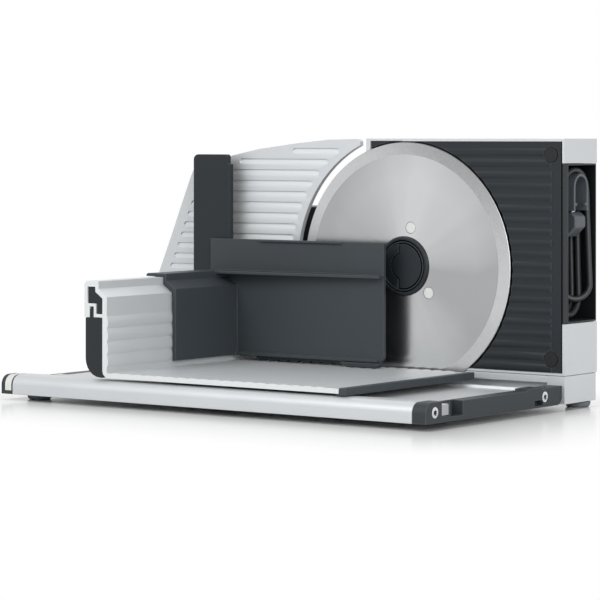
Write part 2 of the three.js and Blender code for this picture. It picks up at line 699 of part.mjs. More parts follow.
// A tube of even section along the points, closed at both ends
function tube(points, radius, sides) {
  const tangents = points.map((p, i) => points[Math.min(i + 1, points.length - 1)].clone()
    .sub(points[Math.max(i - 1, 0)]).normalize());
  const positions = [];
  const index = [];
  let normal = new THREE.Vector3(1, 0, 0);
  points.forEach((p, i) => {
    normal.addScaledVector(tangents[i], -normal.dot(tangents[i])).normalize();
    const binormal = tangents[i].clone().cross(normal);
    for (let k = 0; k < sides; k += 1) {
      const a = (2 * Math.PI * k) / sides;
      const q = p.clone().addScaledVector(normal, radius * Math.cos(a))
        .addScaledVector(binormal, radius * Math.sin(a));
      positions.push(q.x, q.y, q.z);
    }
    normal = normal.clone();
  });
  for (let i = 0; i + 1 < points.length; i += 1) {
    for (let k = 0; k < sides; k += 1) {
      const a = i * sides + k;
      const b = i * sides + ((k + 1) % sides);
      index.push(a, b, a + sides, b, b + sides, a + sides);
    }
  }
  for (let k = 1; k + 1 < sides; k += 1) {
    const end = (points.length - 1) * sides;
    index.push(0, k + 1, k, end, end + k, end + k + 1);
  }
  return new wasm.Manifold(new wasm.Mesh({
    numProp: 3,
    vertProperties: new Float32Array(positions),
    triVerts: new Uint32Array(index),
  }));
}

// The least distance between stretches that aren't neighbours, less the diameter
function leastGap(points, diameter) {
  let least = Infinity;
  const dense = [];
  for (let i = 0; i + 1 < points.length; i += 1) {
    for (let k = 0; k < 6; k += 1) dense.push(points[i].clone().lerp(points[i + 1], k / 6));
  }
  const along = [0];
  for (let i = 1; i < dense.length; i += 1) {
    along.push(along[i - 1] + dense[i].distanceTo(dense[i - 1]));
  }
  for (let i = 0; i < dense.length; i += 1) {
    for (let j = i + 1; j < dense.length; j += 1) {
      if (along[j] - along[i] > 4 * diameter) {
        least = Math.min(least, dense[i].distanceTo(dense[j]) - diameter);
      }
    }
  }
  return [least, along[along.length - 1]];
}

function makeCord() {
  const points = cordPath();
  const [gap, length] = leastGap(points, cord.diameter);
  console.log(`cord length ${length.toFixed(0)} mm, least gap to itself ${gap.toFixed(2)} mm`);
  if (gap < cord.leastGap) throw new Error('the cord touches itself');
  piece('cord_hank', tube(points, cord.diameter / 2, cord.sides), cordSkin);
  const end = points[points.length - 1];
  piece('cord_gland', bar('x', end.y, end.z, glandX, glandX + gland.length, gland.radius, 20,
    gland.mouthRadius), blackPlastic);
}

function makePlug() {
  const p = plug;
  const x0 = p.x - p.width / 2;
  const x1 = p.x + p.width / 2;
  const y0 = p.y - p.thick / 2;
  const y1 = p.y + p.thick / 2;
  const low = p.top - p.height;
  const outline = [
    [x0, low + p.chamfer * 2], [x0 + p.chamfer * 2, low], [x1 - p.chamfer * 2, low],
    [x1, low + p.chamfer * 2], [x1, p.top - p.chamfer], [x1 - p.chamfer, p.top],
    [x0 + p.chamfer, p.top], [x0, p.top - p.chamfer],
  ];
  piece('plug_body', prism('y', outline, y0, y1), cordSkin);
  [-1, 1].forEach((side, i) => {
    piece(`plug_pin_${i + 1}`, bar('z', p.x + (side * p.pinSpacing) / 2, p.y, p.top + seat,
      p.top + seat + p.pinLength, p.pinRadius, 16), brightSteel);
  });
  // tapered tail with rings, turned about its own axis
  const top = low - seat;
  const profile = [new THREE.Vector2(0, tailEndZ)];
  const steps = p.tailRibs * 2;
  for (let i = 0; i <= steps; i += 1) {
    const z = tailEndZ + ((top - tailEndZ) * i) / steps;
    const r = p.tailEnd + ((p.tailTop - p.tailEnd) * i) / steps;
    profile.push(new THREE.Vector2(r - (i % 2 ? p.ribDepth : 0), z));
  }
  profile.push(new THREE.Vector2(0, top));
  const tail = new THREE.LatheGeometry(profile, p.sides);
  tail.rotateX(Math.PI / 2);
  tail.translate(p.x, p.y, 0);
  piece('plug_tail', solid(tail), cordSkin);
}

// Blade with its drive disc, hub and lock
function bossPlaces() {
  const places = [];
  for (let i = 0; i < blade.bossCount; i += 1) {
    const a = THREE.MathUtils.degToRad(blade.bossStartDegrees + (360 * i) / blade.bossCount);
    places.push([blade.x + blade.bossCircle * Math.cos(a), blade.z + blade.bossCircle * Math.sin(a)]);
  }
  return places;
}

function makeBlade() {
  const b = blade;
  const back = b.faceY + b.thickness;
  const disc = bar('y', b.x, b.z, b.faceY, back, b.radius - b.bevel, b.sides);
  const rim = bar('y', b.x, b.z, b.faceY, back - b.edge, b.radius - b.bevel, b.sides, b.radius);
  const edge = bar('y', b.x, b.z, back - b.edge, back, b.radius, b.sides);
  const cutters = [bar('y', b.x, b.z, b.faceY - over, back + over, b.holeRadius, drive.sides)];
  for (const [x, z] of bossPlaces()) {
    cutters.push(bar('y', x, z, b.faceY - over, back + over, b.bossRadius + seat, 24));
  }
  piece('blade', cut(join([disc, rim, edge]), cutters), bladeSteel);
}

function makeDriveDisc() {
  const b = blade;
  const front = b.faceY + b.thickness + seat;
  let disc = bar('y', b.x, b.z, front, front + drive.gearThickness, drive.gearRadius, drive.sides);
  for (const [x, z] of bossPlaces()) {
    disc = disc.add(bar('y', x, z, b.faceY, front + seat, b.bossRadius, 24));
  }
  const bore = bar('y', b.x, b.z, b.faceY - over, front + drive.gearThickness + over,
    drive.spindleRadius + seat, drive.sides);
  piece('drive_disc', cut(disc, [bore]), paleNylon);
}

function makeHub() {
  const b = blade;
  const h = hub;
  const back = b.faceY - seat;
  const front = back - h.height;
  const ring = cut(bar('y', b.x, b.z, front, back, h.frontRadius, h.sides, h.radius), [
    bar('y', b.x, b.z, front - over, back + over, h.ringInner, h.sides),
    cut(bar('y', b.x, b.z, front - over, front + h.grooveDepth, h.grooveOuter, h.sides), [
      bar('y', b.x, b.z, front - over * 2, front + over, h.grooveOuter - h.groove, h.sides)]),
  ]);
  piece('hub_ring', ring, darkPlastic);
  const lockRadius = h.ringInner - seat;
  const lockFront = front - h.lockProud;
  let lock = bar('y', b.x, b.z, lockFront + h.step, back, lockRadius, h.sides);
  // the raised half with its round boss, left of which the lock is a step lower
  const raised = bar('y', b.x, b.z, lockFront, lockFront + h.step + over, h.raisedRadius, h.sides);
  const split = b.x - h.splitInset;
  const half = cut(raised, [block(b.x - h.radius, split, lockFront - over, back,
    b.z - h.radius, b.z + h.radius)]);
  const boss = bar('y', b.x, b.z, lockFront, lockFront + h.step + over, h.bossRadius, h.sides);
  lock = join([lock, half, boss]);
  const pocket = bar('y', b.x, b.z, back - h.pocket - seat, back + over,
    drive.spindleRadius + seat, drive.sides);
  piece('hub_lock', cut(lock, [pocket]), darkPlastic);
}

// Drive train inside the housing
function makeDrive() {
  const d = drive;
  const b = blade;
  const spindleFront = b.faceY - seat - hub.pocket;
  piece('blade_spindle', bar('y', b.x, b.z, spindleFront, d.spindleEnd, d.spindleRadius, d.sides),
    brightSteel);
  const plateFront = d.plateFront;
  const plateRight = store.left - d.plateGap;
  const plate = cut(block(housing.left + housing.wall + seat, plateRight, plateFront, d.plateBack,
    b.z - d.gearRadius - d.boss, d.bracketTop), [
    bar('y', b.x, b.z, plateFront - over, d.plateBack + over, d.spindleRadius + seat, d.sides),
  ]);
  piece('bearing_plate', plate, motorSteel);
  const wheel = cut(bar('y', b.x, b.z, d.wheelFront, d.wheelBack, d.wheelRadius, d.sides), [
    bar('y', b.x, b.z, d.wheelFront - over, d.wheelBack + over, d.spindleRadius + seat, d.sides),
  ]);
  piece('worm_wheel', wheel, paleNylon);
  const blockBack = housing.back - housing.wall - seat * 2;
  const half = d.bearingSize / 2;
  const bearing = cut(block(b.x - half, b.x + half, d.wheelBack + seat * 2, blockBack,
    b.z - half, b.z + half), [
    bar('y', b.x, b.z, d.wheelBack - over, d.spindleEnd + seat, d.spindleRadius + seat, d.sides),
  ]);
  piece('back_bearing', bearing, motorSteel);
  const wormX = b.x + d.wheelRadius + d.wormRadius + seat;
  const worm = join([
    bar('z', wormX, d.motorY, d.wormBottom, d.bracketBottom - seat * 2, d.wormRadius, 24),
    bar('z', wormX, d.motorY, d.bracketBottom - over, d.bracketTop, d.shaftRadius, 24),
  ]);
  piece('worm_shaft', worm, brightSteel);
  const bracket = cut(block(wormX - d.motorRadius, wormX + d.motorRadius, d.plateBack + seat,
    blockBack, d.bracketBottom, d.bracketTop), [
    bar('z', wormX, d.motorY, d.bracketBottom - over, d.bracketTop + over, d.shaftRadius + seat,
      24),
  ]);
  piece('motor_bracket', bracket, motorSteel);
  piece('motor', bar('z', wormX, d.motorY, d.bracketTop + seat, d.motorTop, d.motorRadius,
    d.sides), motorSteel);
}

// Stop plate that sets the slice thickness, and the case that carries it
function stopOutline() {
  const s = stopPlate;
  const radius = blade.radius + s.clearance;
  const low = Math.asin((s.bottom - blade.z) / radius);
  const tip = Math.acos((s.right - blade.x) / radius);
  const from = 180 - THREE.MathUtils.radToDeg(low);
  const to = THREE.MathUtils.radToDeg(tip);
  const span = s.right - stopLeft.foot;
  const height = s.top - s.bottom;
  const up = (share) => s.bottom + height * share;
  const along = (share) => stopLeft.foot + span * share;
  return [
    ...arc(blade.x, blade.z, radius, from, to, s.arcSteps),
    [s.right, s.top - s.tipInset * 2],
    [s.right - s.tipInset * 2, s.top],
    ...stopLeft.topShares.map(([u, v]) => [along(u), up(v)]),
    ...stopLeft.sideShares.map(([u, v]) => [along(u), up(v)]),
  ];
}

const stopLeft = {
  foot: 4,
  topShares: [[0.855, 0.996], [0.715, 0.981], [0.523, 0.953], [0.367, 0.916], [0.25, 0.877]],
  sideShares: [[0.206, 0.857], [0.194, 0.832], [0.143, 0.69], [0.103, 0.574], [0.026, 0.36],
    [0, 0.27], [0, 0]],
};

function makeStopPlate(parent) {
  const s = stopPlate;
  const front = blade.faceY;
  const back = front + s.thickness;
  const outline = stopOutline();
  let body = prism('y', outline, front, back);
  // the grooves end at a margin inside the outline: right along an arc, left along the edge
  const reach = blade.radius + s.clearance + s.grooveMargin;
  const first = s.bottom + s.firstGroove;
  const grooves = Math.floor((s.top - first - s.grooveMargin) / s.groovePitch) + 1;
  for (let i = 0; i < grooves; i += 1) {
    const z = first + i * s.groovePitch;
    const lift = z - blade.z;
    if (Math.abs(lift) < reach) {
      const right = blade.x - Math.sqrt(reach * reach - lift * lift);
      const left = leftEdge(outline, z + s.crownMargin) + s.leftMargin;
      if (right - left > s.leftMargin) {
        body = body.subtract(stopGroove(left, right, z));
      }
    }
  }
  piece('stop_plate', body, lightMetal, parent);
}

// A groove with round ends, deep under its upper edge and running out at its lower one
function stopGroove(left, right, z) {
  const s = stopPlate;
  const half = s.grooveWidth / 2;
  const front = blade.faceY;
  const section = [
    [front - over, z - half],
    [front, z - half],
    [front + s.grooveDepth, z + half - s.grooveWidth * s.lipShare],
    [front + s.grooveDepth, z + half + over],
    [front - over, z + half + over],
  ];
  const ends = [
    ...arc(right - half, z, half, -90, 90, s.cornerSteps),
    ...arc(left + half, z, half, 90, 270, s.cornerSteps),
  ];
  return prism('x', section, left, right)
    .intersect(prism('y', ends, front - over, front + s.grooveDepth));
}

// Where a level line first meets the outline from the left
function leftEdge(outline, z) {
  let least = Infinity;
  outline.forEach(([u1, v1], i) => {
    const [u2, v2] = outline[(i + 1) % outline.length];
    if ((v1 - z) * (v2 - z) <= 0 && v1 !== v2) {
      least = Math.min(least, u1 + ((u2 - u1) * (z - v1)) / (v2 - v1));
    }
  });
  return least;
}

function makeStopCarrier(parent) {
  const m = mech;
  const front = blade.faceY + stopPlate.thickness + seat;
  piece('stop_plate_carrier', block(m.carrierLeft, m.carrierRight, front,
    front + m.carrierThickness, m.carrierBottom, m.carrierTop), darkPlastic, parent);
  for (const [name, z] of [['guide_rod_low', m.rodLow], ['guide_rod_high', m.rodHigh]]) {
    piece(name, bar('y', m.rodX, z, front + m.carrierThickness + seat, m.rodEnd, m.rodRadius,
      24), brightSteel, parent);
  }
}

function makeCase() {
  const m = mech;
  const outline = [
    [m.right, m.front],
    [m.right, m.back],
    ...arc(m.left + m.corner, m.back - m.corner, m.corner, 90, 180, base.noseSteps),
    [m.left, m.front],
  ];
  const cutters = [m.rodLow, m.rodHigh].map((z) => bar('y', m.rodX, z, m.front - over,
    m.rodEnd + stopPlate.travel + seat * 2, m.rodRadius + seat, 24));
  cutters.push(bar('x', knob.y, knob.z, m.left - over, m.left + knob.shaftLength + seat,
    knob.shaftRadius + seat, 24));
  cutters.push(bar('x', button.y, button.z, m.left - over, m.left + button.stem + button.travel
    + seat, button.radius + seat, 24));
  cutters.push(block(latch.x - latch.stem / 2 - seat, latch.x + latch.stem / 2 + latch.travel
    + seat, m.back - latch.slot, m.back + over, latch.z - latch.stem / 2 - seat,
  latch.z + latch.stem / 2 + seat));
  piece('mechanism_case', cut(prism('z', outline, m.bottom, m.top), cutters), darkPlastic);
}

function makeKnob() {
  const k = knob;
  const face = mech.left - seat;
  let body = join([
    bar('x', k.y, k.z, face - k.length, face, k.radius, 48),
    bar('x', k.y, k.z, face - over, mech.left + k.shaftLength, k.shaftRadius, 24),
  ]);
  for (let i = 0; i < k.flutes; i += 1) {
    const a = (2 * Math.PI * i) / k.flutes;
    body = body.subtract(bar('x', k.y + k.radius * Math.cos(a), k.z + k.radius * Math.sin(a),
      face - k.length - over, face - k.dial, k.fluteRadius, 8));
  }
  piece('thickness_knob', body, darkPlastic);
}

function makeButton() {
  const b = button;
  const stem = bar('x', b.y, b.z, mech.left - b.proud, mech.left + b.stem, b.radius, 24);
  piece('switch_button', stem, darkPlastic);
}

function makeLatch() {
  const l = latch;
  const body = join([
    block(l.x - l.length / 2, l.x + l.length / 2, mech.back + seat, mech.back + l.proud,
      l.z - l.height / 2, l.z + l.height / 2),
    block(l.x - l.stem / 2, l.x + l.stem / 2, mech.back - l.slot + seat, mech.back + l.proud,
      l.z - l.stem / 2, l.z + l.stem / 2),
  ]);
  piece('safety_latch', body, darkPlastic);
}

// Food carriage: an extrusion with a hollow head, a ribbed wall and a ribbed floor
function makeCarriage(parent) {
  const c = carriage;
  const wallOuter = c.wallInner - c.wallThickness;
  const outline = [
    ...arc(wallOuter + c.cornerRadius, c.bottom + c.cornerRadius, c.cornerRadius, 180, 270,
      base.noseSteps),
    [c.right, c.bottom],
    [c.right, c.floorTop],
    [c.wallInner, c.floorTop],
    [c.wallInner, c.shoulder],
    [c.headRight, c.headStep],
    [c.headRight, c.top],
    ...arc(c.left + c.headWall, c.top - c.headWall, c.headWall, 90, 180, base.noseSteps),
    [c.left, c.skirtBottom],
    [c.slotLeft, c.skirtBottom],
    [c.slotLeft, c.slotTop],
    [c.slotRight, c.slotTop],
    [c.slotRight, c.skirtBottom],
    [wallOuter, c.skirtBottom],
  ];
  let body = prism('y', outline, c.front, c.back);
  body = body.subtract(prism('y', headChamber(0), c.front - over, c.back + over));
  for (let i = 0; i < c.ribCount; i += 1) {
    const low = c.floorTop + c.firstRib + i * c.ribPitch;
    const rib = [
      [c.wallInner - over / 2, low],
      [c.wallInner, low],
      ...ribShares.map(([along, out]) => [
        c.wallInner + c.ribProud * out, low + c.ribPitch * along]),
      [c.wallInner, low + c.ribPitch],
      [c.wallInner - over / 2, low + c.ribPitch],
    ];
    body = body.add(prism('y', rib, c.front, c.back));
  }
  const floorFrom = c.wallInner + c.floorMargin;
  const count = Math.floor((strip.left - floorFrom - c.floorMargin / 2) / c.floorPitch);
  for (let i = 0; i < count; i += 1) {
    const left = floorFrom + i * c.floorPitch;
    const width = c.floorPitch - c.floorLand;
    const rib = [
      [left + width, c.floorTop],
      [left + width, c.floorTop - over / 2],
      [left, c.floorTop - over / 2],
      [left, c.floorTop],
      ...floorShares.map(([along, up]) => [left + width * along, c.floorTop + c.floorProud * up]),
    ].reverse();
    body = body.add(prism('y', rib, c.front, c.back));
  }
  piece('carriage_extrusion', body, lightMetal, parent);
}

// The hollow in the carriage's head, made smaller by a gap on every side
function headChamber(gap) {
  const c = carriage;
  const left = c.left + c.headWall + gap;
  const hookRight = c.slotRight + c.hookWall + gap;
  const hookTop = c.slotTop + c.hookWall + gap;
  const right = c.wallInner - c.wallThickness - gap;
  const bottom = c.chamberFloor + gap;
  const stepRight = c.headRight - c.headWall - gap;
  const top = c.top - c.headWall - c.hookWall / 2 - gap;
  return [
    [left, hookTop],
    [hookRight, hookTop],
    [hookRight, bottom],
    [right, bottom],
    [right, c.shoulder - c.hookWall / 2 - gap / 2],
    [stepRight, c.headStep - c.hookWall - gap / 2],
    [stepRight, top],
    [left, top],
  ];
}

// A dark core fills the head's hollow almost to its sawn ends
function makeHeadCore(parent) {
  const c = carriage;
  const body = prism('y', headChamber(seat), c.front + c.coreInset, c.back - c.coreInset);
  piece('carriage_head_core', body, darkPlastic, parent);
}

function makeGrip(parent) {
  const c = carriage;
  const g = grip;
  const left = c.left + g.inset;
  const right = c.wallInner - c.wallThickness - seat;
  const bottom = c.bottom;
  const outline = [
    ...arc(left + g.radius, bottom + g.radius, g.radius, 180, 270, g.steps),
    [right + seat, bottom],
    ...arc(c.wallInner - c.wallThickness + c.cornerRadius, bottom + c.cornerRadius,
      c.cornerRadius + seat, g.cornerDegrees, 180, base.noseSteps),
    [right, c.skirtBottom - seat],
    [c.slotRight - seat, c.skirtBottom - seat],
    [c.slotRight - seat, c.skirtBottom + g.tongue],
    [c.slotLeft + seat, c.skirtBottom + g.tongue],
    [c.slotLeft + seat, c.skirtBottom - seat],
    [left, c.skirtBottom - seat],
  ];
  piece('carriage_grip', prism('y', outline, c.front, c.back), darkPlastic, parent);
}

function makeStrip(parent) {
  const c = carriage;
  const s = strip;
  const body = cut(block(s.left, s.right, c.front, c.back, s.bottom, s.top), [
    block(s.left - over, c.right + seat, c.front - over, c.back + over, c.bottom - seat,
      s.top + over),
  ]);
  piece('carriage_edge_strip', body, darkPlastic, parent);
}

function makePads(parent) {
  const c = carriage;
  const left = c.wallInner + pad.leftInset;
  const right = c.right - pad.rightInset;
  const rear = c.back - pad.backInset;
  const places = [
    ['glide_front_left', left, pad.frontY], ['glide_front_right', right, pad.frontY],
    ['glide_back_left', left, rear], ['glide_back_right', right, rear],
  ];
  for (const [name, x, y] of places) {
    piece(name, block(x - pad.length / 2, x + pad.length / 2, y - pad.width / 2,
      y + pad.width / 2, base.deck + seat, c.bottom - seat), paleNylon, parent);
  }
}

// Food pusher: saddle over the carriage wall, plate, ledge, shield and guard post
function makePusher(parent) {
  const c = carriage;
  const p = pusher;
  const t = p.saddlePlate;
  const back = p.front + p.plate;
  const inner = c.wallInner + c.ribProud + seat;
  const saddle = [
    [p.flangeLeft, c.top + seat],
    [c.headRight + seat, c.top + seat],
    [c.headRight + seat, c.headStep + seat],
    [inner, c.shoulder + seat / 2],
    [inner, p.bottom],
    [inner + t, p.bottom],
    [inner + t, c.shoulder + t],
    [c.headRight + t, c.headStep + t],
    [c.headRight + t, c.top + seat + p.ledge],
    [p.flangeLeft + p.ledge / 2, c.top + seat + p.ledge],
    [p.flangeLeft, c.top + seat + p.ledge / 2],
  ];
  const ledgeTop = c.top + seat + p.ledge;
  const plate = [
    [inner, p.bottom],
    ...arc(p.right - p.corner, p.bottom + p.corner, p.corner, -90, 0, base.noseSteps),
    [p.right, p.shieldTop],
    [p.flangeLeft + p.ledge, p.shieldTop],
    [p.flangeLeft + p.ledge, c.top + seat],
    [c.headRight + seat, c.top + seat],
    [c.headRight + seat, c.headStep + seat],
    [inner, c.shoulder + seat / 2],
  ];
  // the ledge is deep beside the wall and runs out towards the plate's free side
  const ledge = [
    [c.headRight + t / 2, back],
    [c.headRight + t / 2, p.ledgeFront],
    [inner + t, p.ledgeFront],
    [p.right, p.ledgeRightFront],
    [p.right, back],
  ];
  const body = join([
    prism('y', saddle, p.saddleFront, back),
    prism('y', plate, p.front, back),
    prism('z', ledge, c.top + seat, ledgeTop),
    block(inner + t / 2, p.right - p.corner, p.front - p.ribLip, p.front + over, p.bottom,
      p.bottom + p.ribLip),
    block(p.lipLeft, p.lipRight, p.front - p.lip, p.front + over, p.shieldTop - p.lipHeight,
      p.shieldTop),
  ]);
  piece('pusher_body', body, darkPlastic, parent);
}

function makePost(parent) {
  const p = post;
  const bottom = carriage.top + seat;
  const front = pusher.front + pusher.plate + seat;
  const outline = [
    [p.left, bottom],
    [p.right, bottom],
    [p.right, p.top - p.notchDrop],
    [p.right - p.notch, p.top - p.notchDrop],
    ...arc(p.right - p.notch - p.corner / 2, p.top - p.corner / 2, p.corner / 2, 0, 90, 4),
    ...arc(p.left + p.corner, p.top - p.corner, p.corner, 90, 180, 4),
  ];
  piece('pusher_guard_post', prism('y', outline, front, front + p.thickness), darkPlastic, parent);
}

// A toothed strip on the plate's back, whose teeth reach down between the floor's ribs
function makeComb(parent) {
  const k = comb;
  const front = pusher.front + pusher.plate + seat;
  const low = carriage.floorTop + carriage.floorProud + seat;
  const outline = [[k.right, low + k.height], [k.left, low + k.height]];
  const count = Math.floor((k.right - k.left) / k.pitch);
  for (let i = 0; i < count; i += 1) {
    const x = k.left + i * k.pitch;
    outline.push([x, low + k.depth], [x + k.pitch / 4, low], [x + (3 * k.pitch) / 4, low]);
  }
  outline.push([k.left + count * k.pitch, low + k.depth], [k.right, low + k.depth]);
  piece('pusher_comb', prism('y', outline, front, front + k.thickness), darkPlastic, parent);
}

function makeToe(parent) {
  const t = toe;
  const top = pusher.bottom - seat;
  const low = carriage.floorTop + carriage.floorProud + seat;
  const back = pusher.front + pusher.plate - t.backInset;
  const outline = [
    [t.left, top], [t.left + t.slope, low], [t.right - t.slope / 4, low], [t.right, top],
  ];
  piece('pusher_toe', prism('y', outline, back - t.depth / 2, back), darkPlastic, parent);
}

makeBase();
makeLeftCap();
makeRightCap();
makeFeet();
makePlinth();
makeShell();
makePanel();
makeBackCover();
makeStore();
makeHorn('cord_horn_upper', 1, foldTop, horn.reach);
makeHorn('cord_horn_lower', -1, foldBottom, horn.lowerReach);
makeCord();
makePlug();
makeBlade();
makeDriveDisc();
makeHub();
makeDrive();
makeCase();
makeKnob();
makeButton();
makeLatch();

const stopGroup = new THREE.Group();
makeStopPlate(stopGroup);
makeStopCarrier(stopGroup);
slicer.add(stopGroup);

const carriageGroup = new THREE.Group();
makeCarriage(carriageGroup);
makeHeadCore(carriageGroup);
makeGrip(carriageGroup);
makeStrip(carriageGroup);
makePads(carriageGroup);
const pusherGroup = new THREE.Group();
makePusher(pusherGroup);
makePost(pusherGroup);
makeComb(pusherGroup);
makeToe(pusherGroup);
carriageGroup.add(pusherGroup);
slicer.add(carriageGroup);

// Middle of the footprint at the origin, feet on the table
const placed = new THREE.Group();
slicer.position.set(-plinth.right / 2, -(mech.back + latch.proud) / 2, 0);
placed.add(slicer);

export default placed;
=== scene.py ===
"""Looks of a food slicer: each moulded, extruded and turned piece in its own finish."""

import json
import math

import bmesh
import bpy
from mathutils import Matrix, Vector

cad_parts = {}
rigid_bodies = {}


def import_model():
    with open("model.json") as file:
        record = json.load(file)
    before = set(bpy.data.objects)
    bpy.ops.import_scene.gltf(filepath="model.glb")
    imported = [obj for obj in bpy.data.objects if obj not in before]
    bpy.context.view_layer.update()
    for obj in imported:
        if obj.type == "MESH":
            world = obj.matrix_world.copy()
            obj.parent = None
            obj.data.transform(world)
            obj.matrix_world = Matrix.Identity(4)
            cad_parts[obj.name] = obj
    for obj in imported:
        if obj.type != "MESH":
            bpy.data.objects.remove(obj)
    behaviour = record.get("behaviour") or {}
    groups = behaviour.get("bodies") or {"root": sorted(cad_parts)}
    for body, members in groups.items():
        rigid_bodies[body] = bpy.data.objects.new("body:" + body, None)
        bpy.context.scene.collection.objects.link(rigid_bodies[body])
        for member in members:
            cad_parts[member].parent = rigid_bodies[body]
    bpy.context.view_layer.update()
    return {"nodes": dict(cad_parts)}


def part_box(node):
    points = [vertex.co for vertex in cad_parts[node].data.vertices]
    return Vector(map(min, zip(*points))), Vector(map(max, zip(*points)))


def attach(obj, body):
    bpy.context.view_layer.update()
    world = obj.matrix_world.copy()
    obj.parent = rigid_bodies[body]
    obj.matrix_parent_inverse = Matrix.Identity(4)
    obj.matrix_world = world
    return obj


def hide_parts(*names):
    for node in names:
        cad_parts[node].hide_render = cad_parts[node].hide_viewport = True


bl_info = {
    "name": "Food slicer",
    "version": (1, 0, 0),
    "blender": (4, 5, 0),
    "location": "View3D > Sidebar > Slicer",
    "description": "Builds the pieces and finishes of a food slicer",
    "category": "Add Mesh",
}

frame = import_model()
MM = 0.001

# The base's left front corner on the table: sizes below count from here, in mm
CORNER = Vector((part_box("base_left_cap")[0].x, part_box("base_left_cap")[0].y, 0))
BLADE_LOW, BLADE_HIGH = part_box("blade")
BLADE_MIDDLE = (BLADE_LOW + BLADE_HIGH) / 2
BLADE_RADIUS = (BLADE_HIGH.x - BLADE_LOW.x) / 2


def at(x, y, z):
    """A point counted in mm from the base's left front corner, in the frame."""
    return CORNER + Vector((x, y, z)) * MM


def linear(code):
    """An sRGB hex colour as linear red, green, blue and alpha."""
    parts = [int(code[i:i + 2], 16) / 255 for i in (1, 3, 5)]
    return [c / 12.92 if c <= 0.04045 else ((c + 0.055) / 1.055) ** 2.4 for c in parts] + [1.0]


# ---- sizes and colours that a user would change


def length(name, description, value):
    return bpy.props.FloatProperty(
        name=name, description=description, default=value * MM, unit="LENGTH",
        precision=4, min=0.0)


def colour(name, description, code):
    return bpy.props.FloatVectorProperty(
        name=name, description=description, default=linear(code)[:3], subtype="COLOR",
        size=3, min=0.0, max=1.0)


class SlicerSizes(bpy.types.PropertyGroup):
    edge: length("Moulded edge", "Rounding of the moulded plastic edges", 0.45)
    extruded_edge: length("Extruded edge", "Rounding of the aluminium edges", 0.3)
    bevel_width: length("Ground bevel", "Width of the blade's ground bevel", 8.6)
    hub_radius: length("Hub radius", "Outer radius of the blade's hub", 21)
    lock_radius: length("Lock radius", "Radius of the lock in the hub", 16.1)
    cord_thickness: length("Cord thickness", "Diameter of the mains cord", 4.2)
    screw_radius: length("Cap screw radius", "Radius of the end cap's screws", 3.8)


class SlicerColours(bpy.types.PropertyGroup):
    aluminium: colour("Aluminium", "Anodised base, carriage, plate and housing", "#CACDCF")
    blade: colour("Blade steel", "Turned and ground blade", "#CFD0D1")
    anthracite: colour("Anthracite", "End caps, bracket and knob", "#2D3236")
    anthracite_light: colour("Light anthracite", "Pusher and carriage edge", "#363C40")
    anthracite_dark: colour("Dark anthracite", "Panel, hub, post, grip and back", "#1B2025")
    black: colour("Black liner", "Inside of the cord compartment", "#0D1013")
    cord: colour("Cord", "Cord and the plug's tail", "#272B2F")
    horn: colour("Horns", "Horns that the cord is wound on, and the plug", "#484D52")
    nylon: colour("Nylon", "Drive disc and glides", "#DADBD9")
    inlay: colour("Inlay", "Light strip round the left cap", "#DCDDD8")
    rubber: colour("Rubber", "Feet", "#6A6F73")


def sizes():
    return bpy.context.scene.slicer_sizes


def colours():
    return bpy.context.scene.slicer_colours


# ---- materials


def join(tree, node, links):
    """Links a node's inputs to their sources. A source that is a node gives its first output."""
    for name, source in links.items():
        if isinstance(source, bpy.types.Node):
            source = source.outputs[0]
        tree.links.new(source, node.inputs[name])


def add(tree, kind, settings=None, values=None, links=None):
    """Adds a node with its settings, its input values and what is linked to its inputs."""
    node = tree.nodes.new(kind)
    for name, value in (settings or {}).items():
        setattr(node, name, value)
    for name, value in (values or {}).items():
        node.inputs[name].default_value = value
    join(tree, node, links or {})
    return node


def new_material(name):
    """An empty material with its output and its shader."""
    material = bpy.data.materials.new(name)
    material.use_nodes = True
    material.node_tree.nodes.clear()
    tree = material.node_tree
    shader = add(tree, "ShaderNodeBsdfPrincipled")
    add(tree, "ShaderNodeOutputMaterial", links={"Surface": shader})
    return material, tree, shader


COLOUR_MIX = {"data_type": "RGBA"}
PATCH = 35 * MM  # size of the soft patches of tone on any finish
EDGE_HIGHLIGHT_GREY = linear("#7C868D")  # what a painted edge highlight turns to


def grain(tree, shader, tone, roughness, size, depth, roughness_spread, tone_spread,
          stretch=(1, 1, 1), edge=0.0, rub=0.9):
    """Surface grain of a real size in mm, with soft patches of tone and roughness, and edges
    lightened as a painted highlight, a share of the way to a highlight grey, over a width in mm."""
    place = add(tree, "ShaderNodeTexCoord").outputs["Object"]
    drawn = add(tree, "ShaderNodeMapping", values={"Scale": stretch}, links={"Vector": place})
    fine = add(tree, "ShaderNodeTexNoise", values={"Scale": 1 / (size * MM), "Detail": 3.0},
               links={"Vector": drawn})
    soft = add(tree, "ShaderNodeTexNoise", values={"Scale": 1 / PATCH, "Detail": 2.0},
               links={"Vector": place})
    bump = add(tree, "ShaderNodeBump", values={"Strength": 1.0, "Distance": depth * MM},
               links={"Height": fine})
    rough = add(tree, "ShaderNodeMapRange",
                values={"To Min": roughness - roughness_spread,
                        "To Max": roughness + roughness_spread},
                links={"Value": fine})
    dark = [c * (1 - tone_spread) for c in tone[:3]] + [1]
    light = [min(1, c * (1 + tone_spread)) for c in tone[:3]] + [1]
    skin = add(tree, "ShaderNodeMix", COLOUR_MIX, {6: dark, 7: light}, {0: soft})
    join(tree, shader, {"Base Color": skin.outputs[2], "Roughness": rough, "Normal": bump})
    if edge:
        paint_edge_highlights(tree, shader, skin.outputs[2], tone, edge, rub)


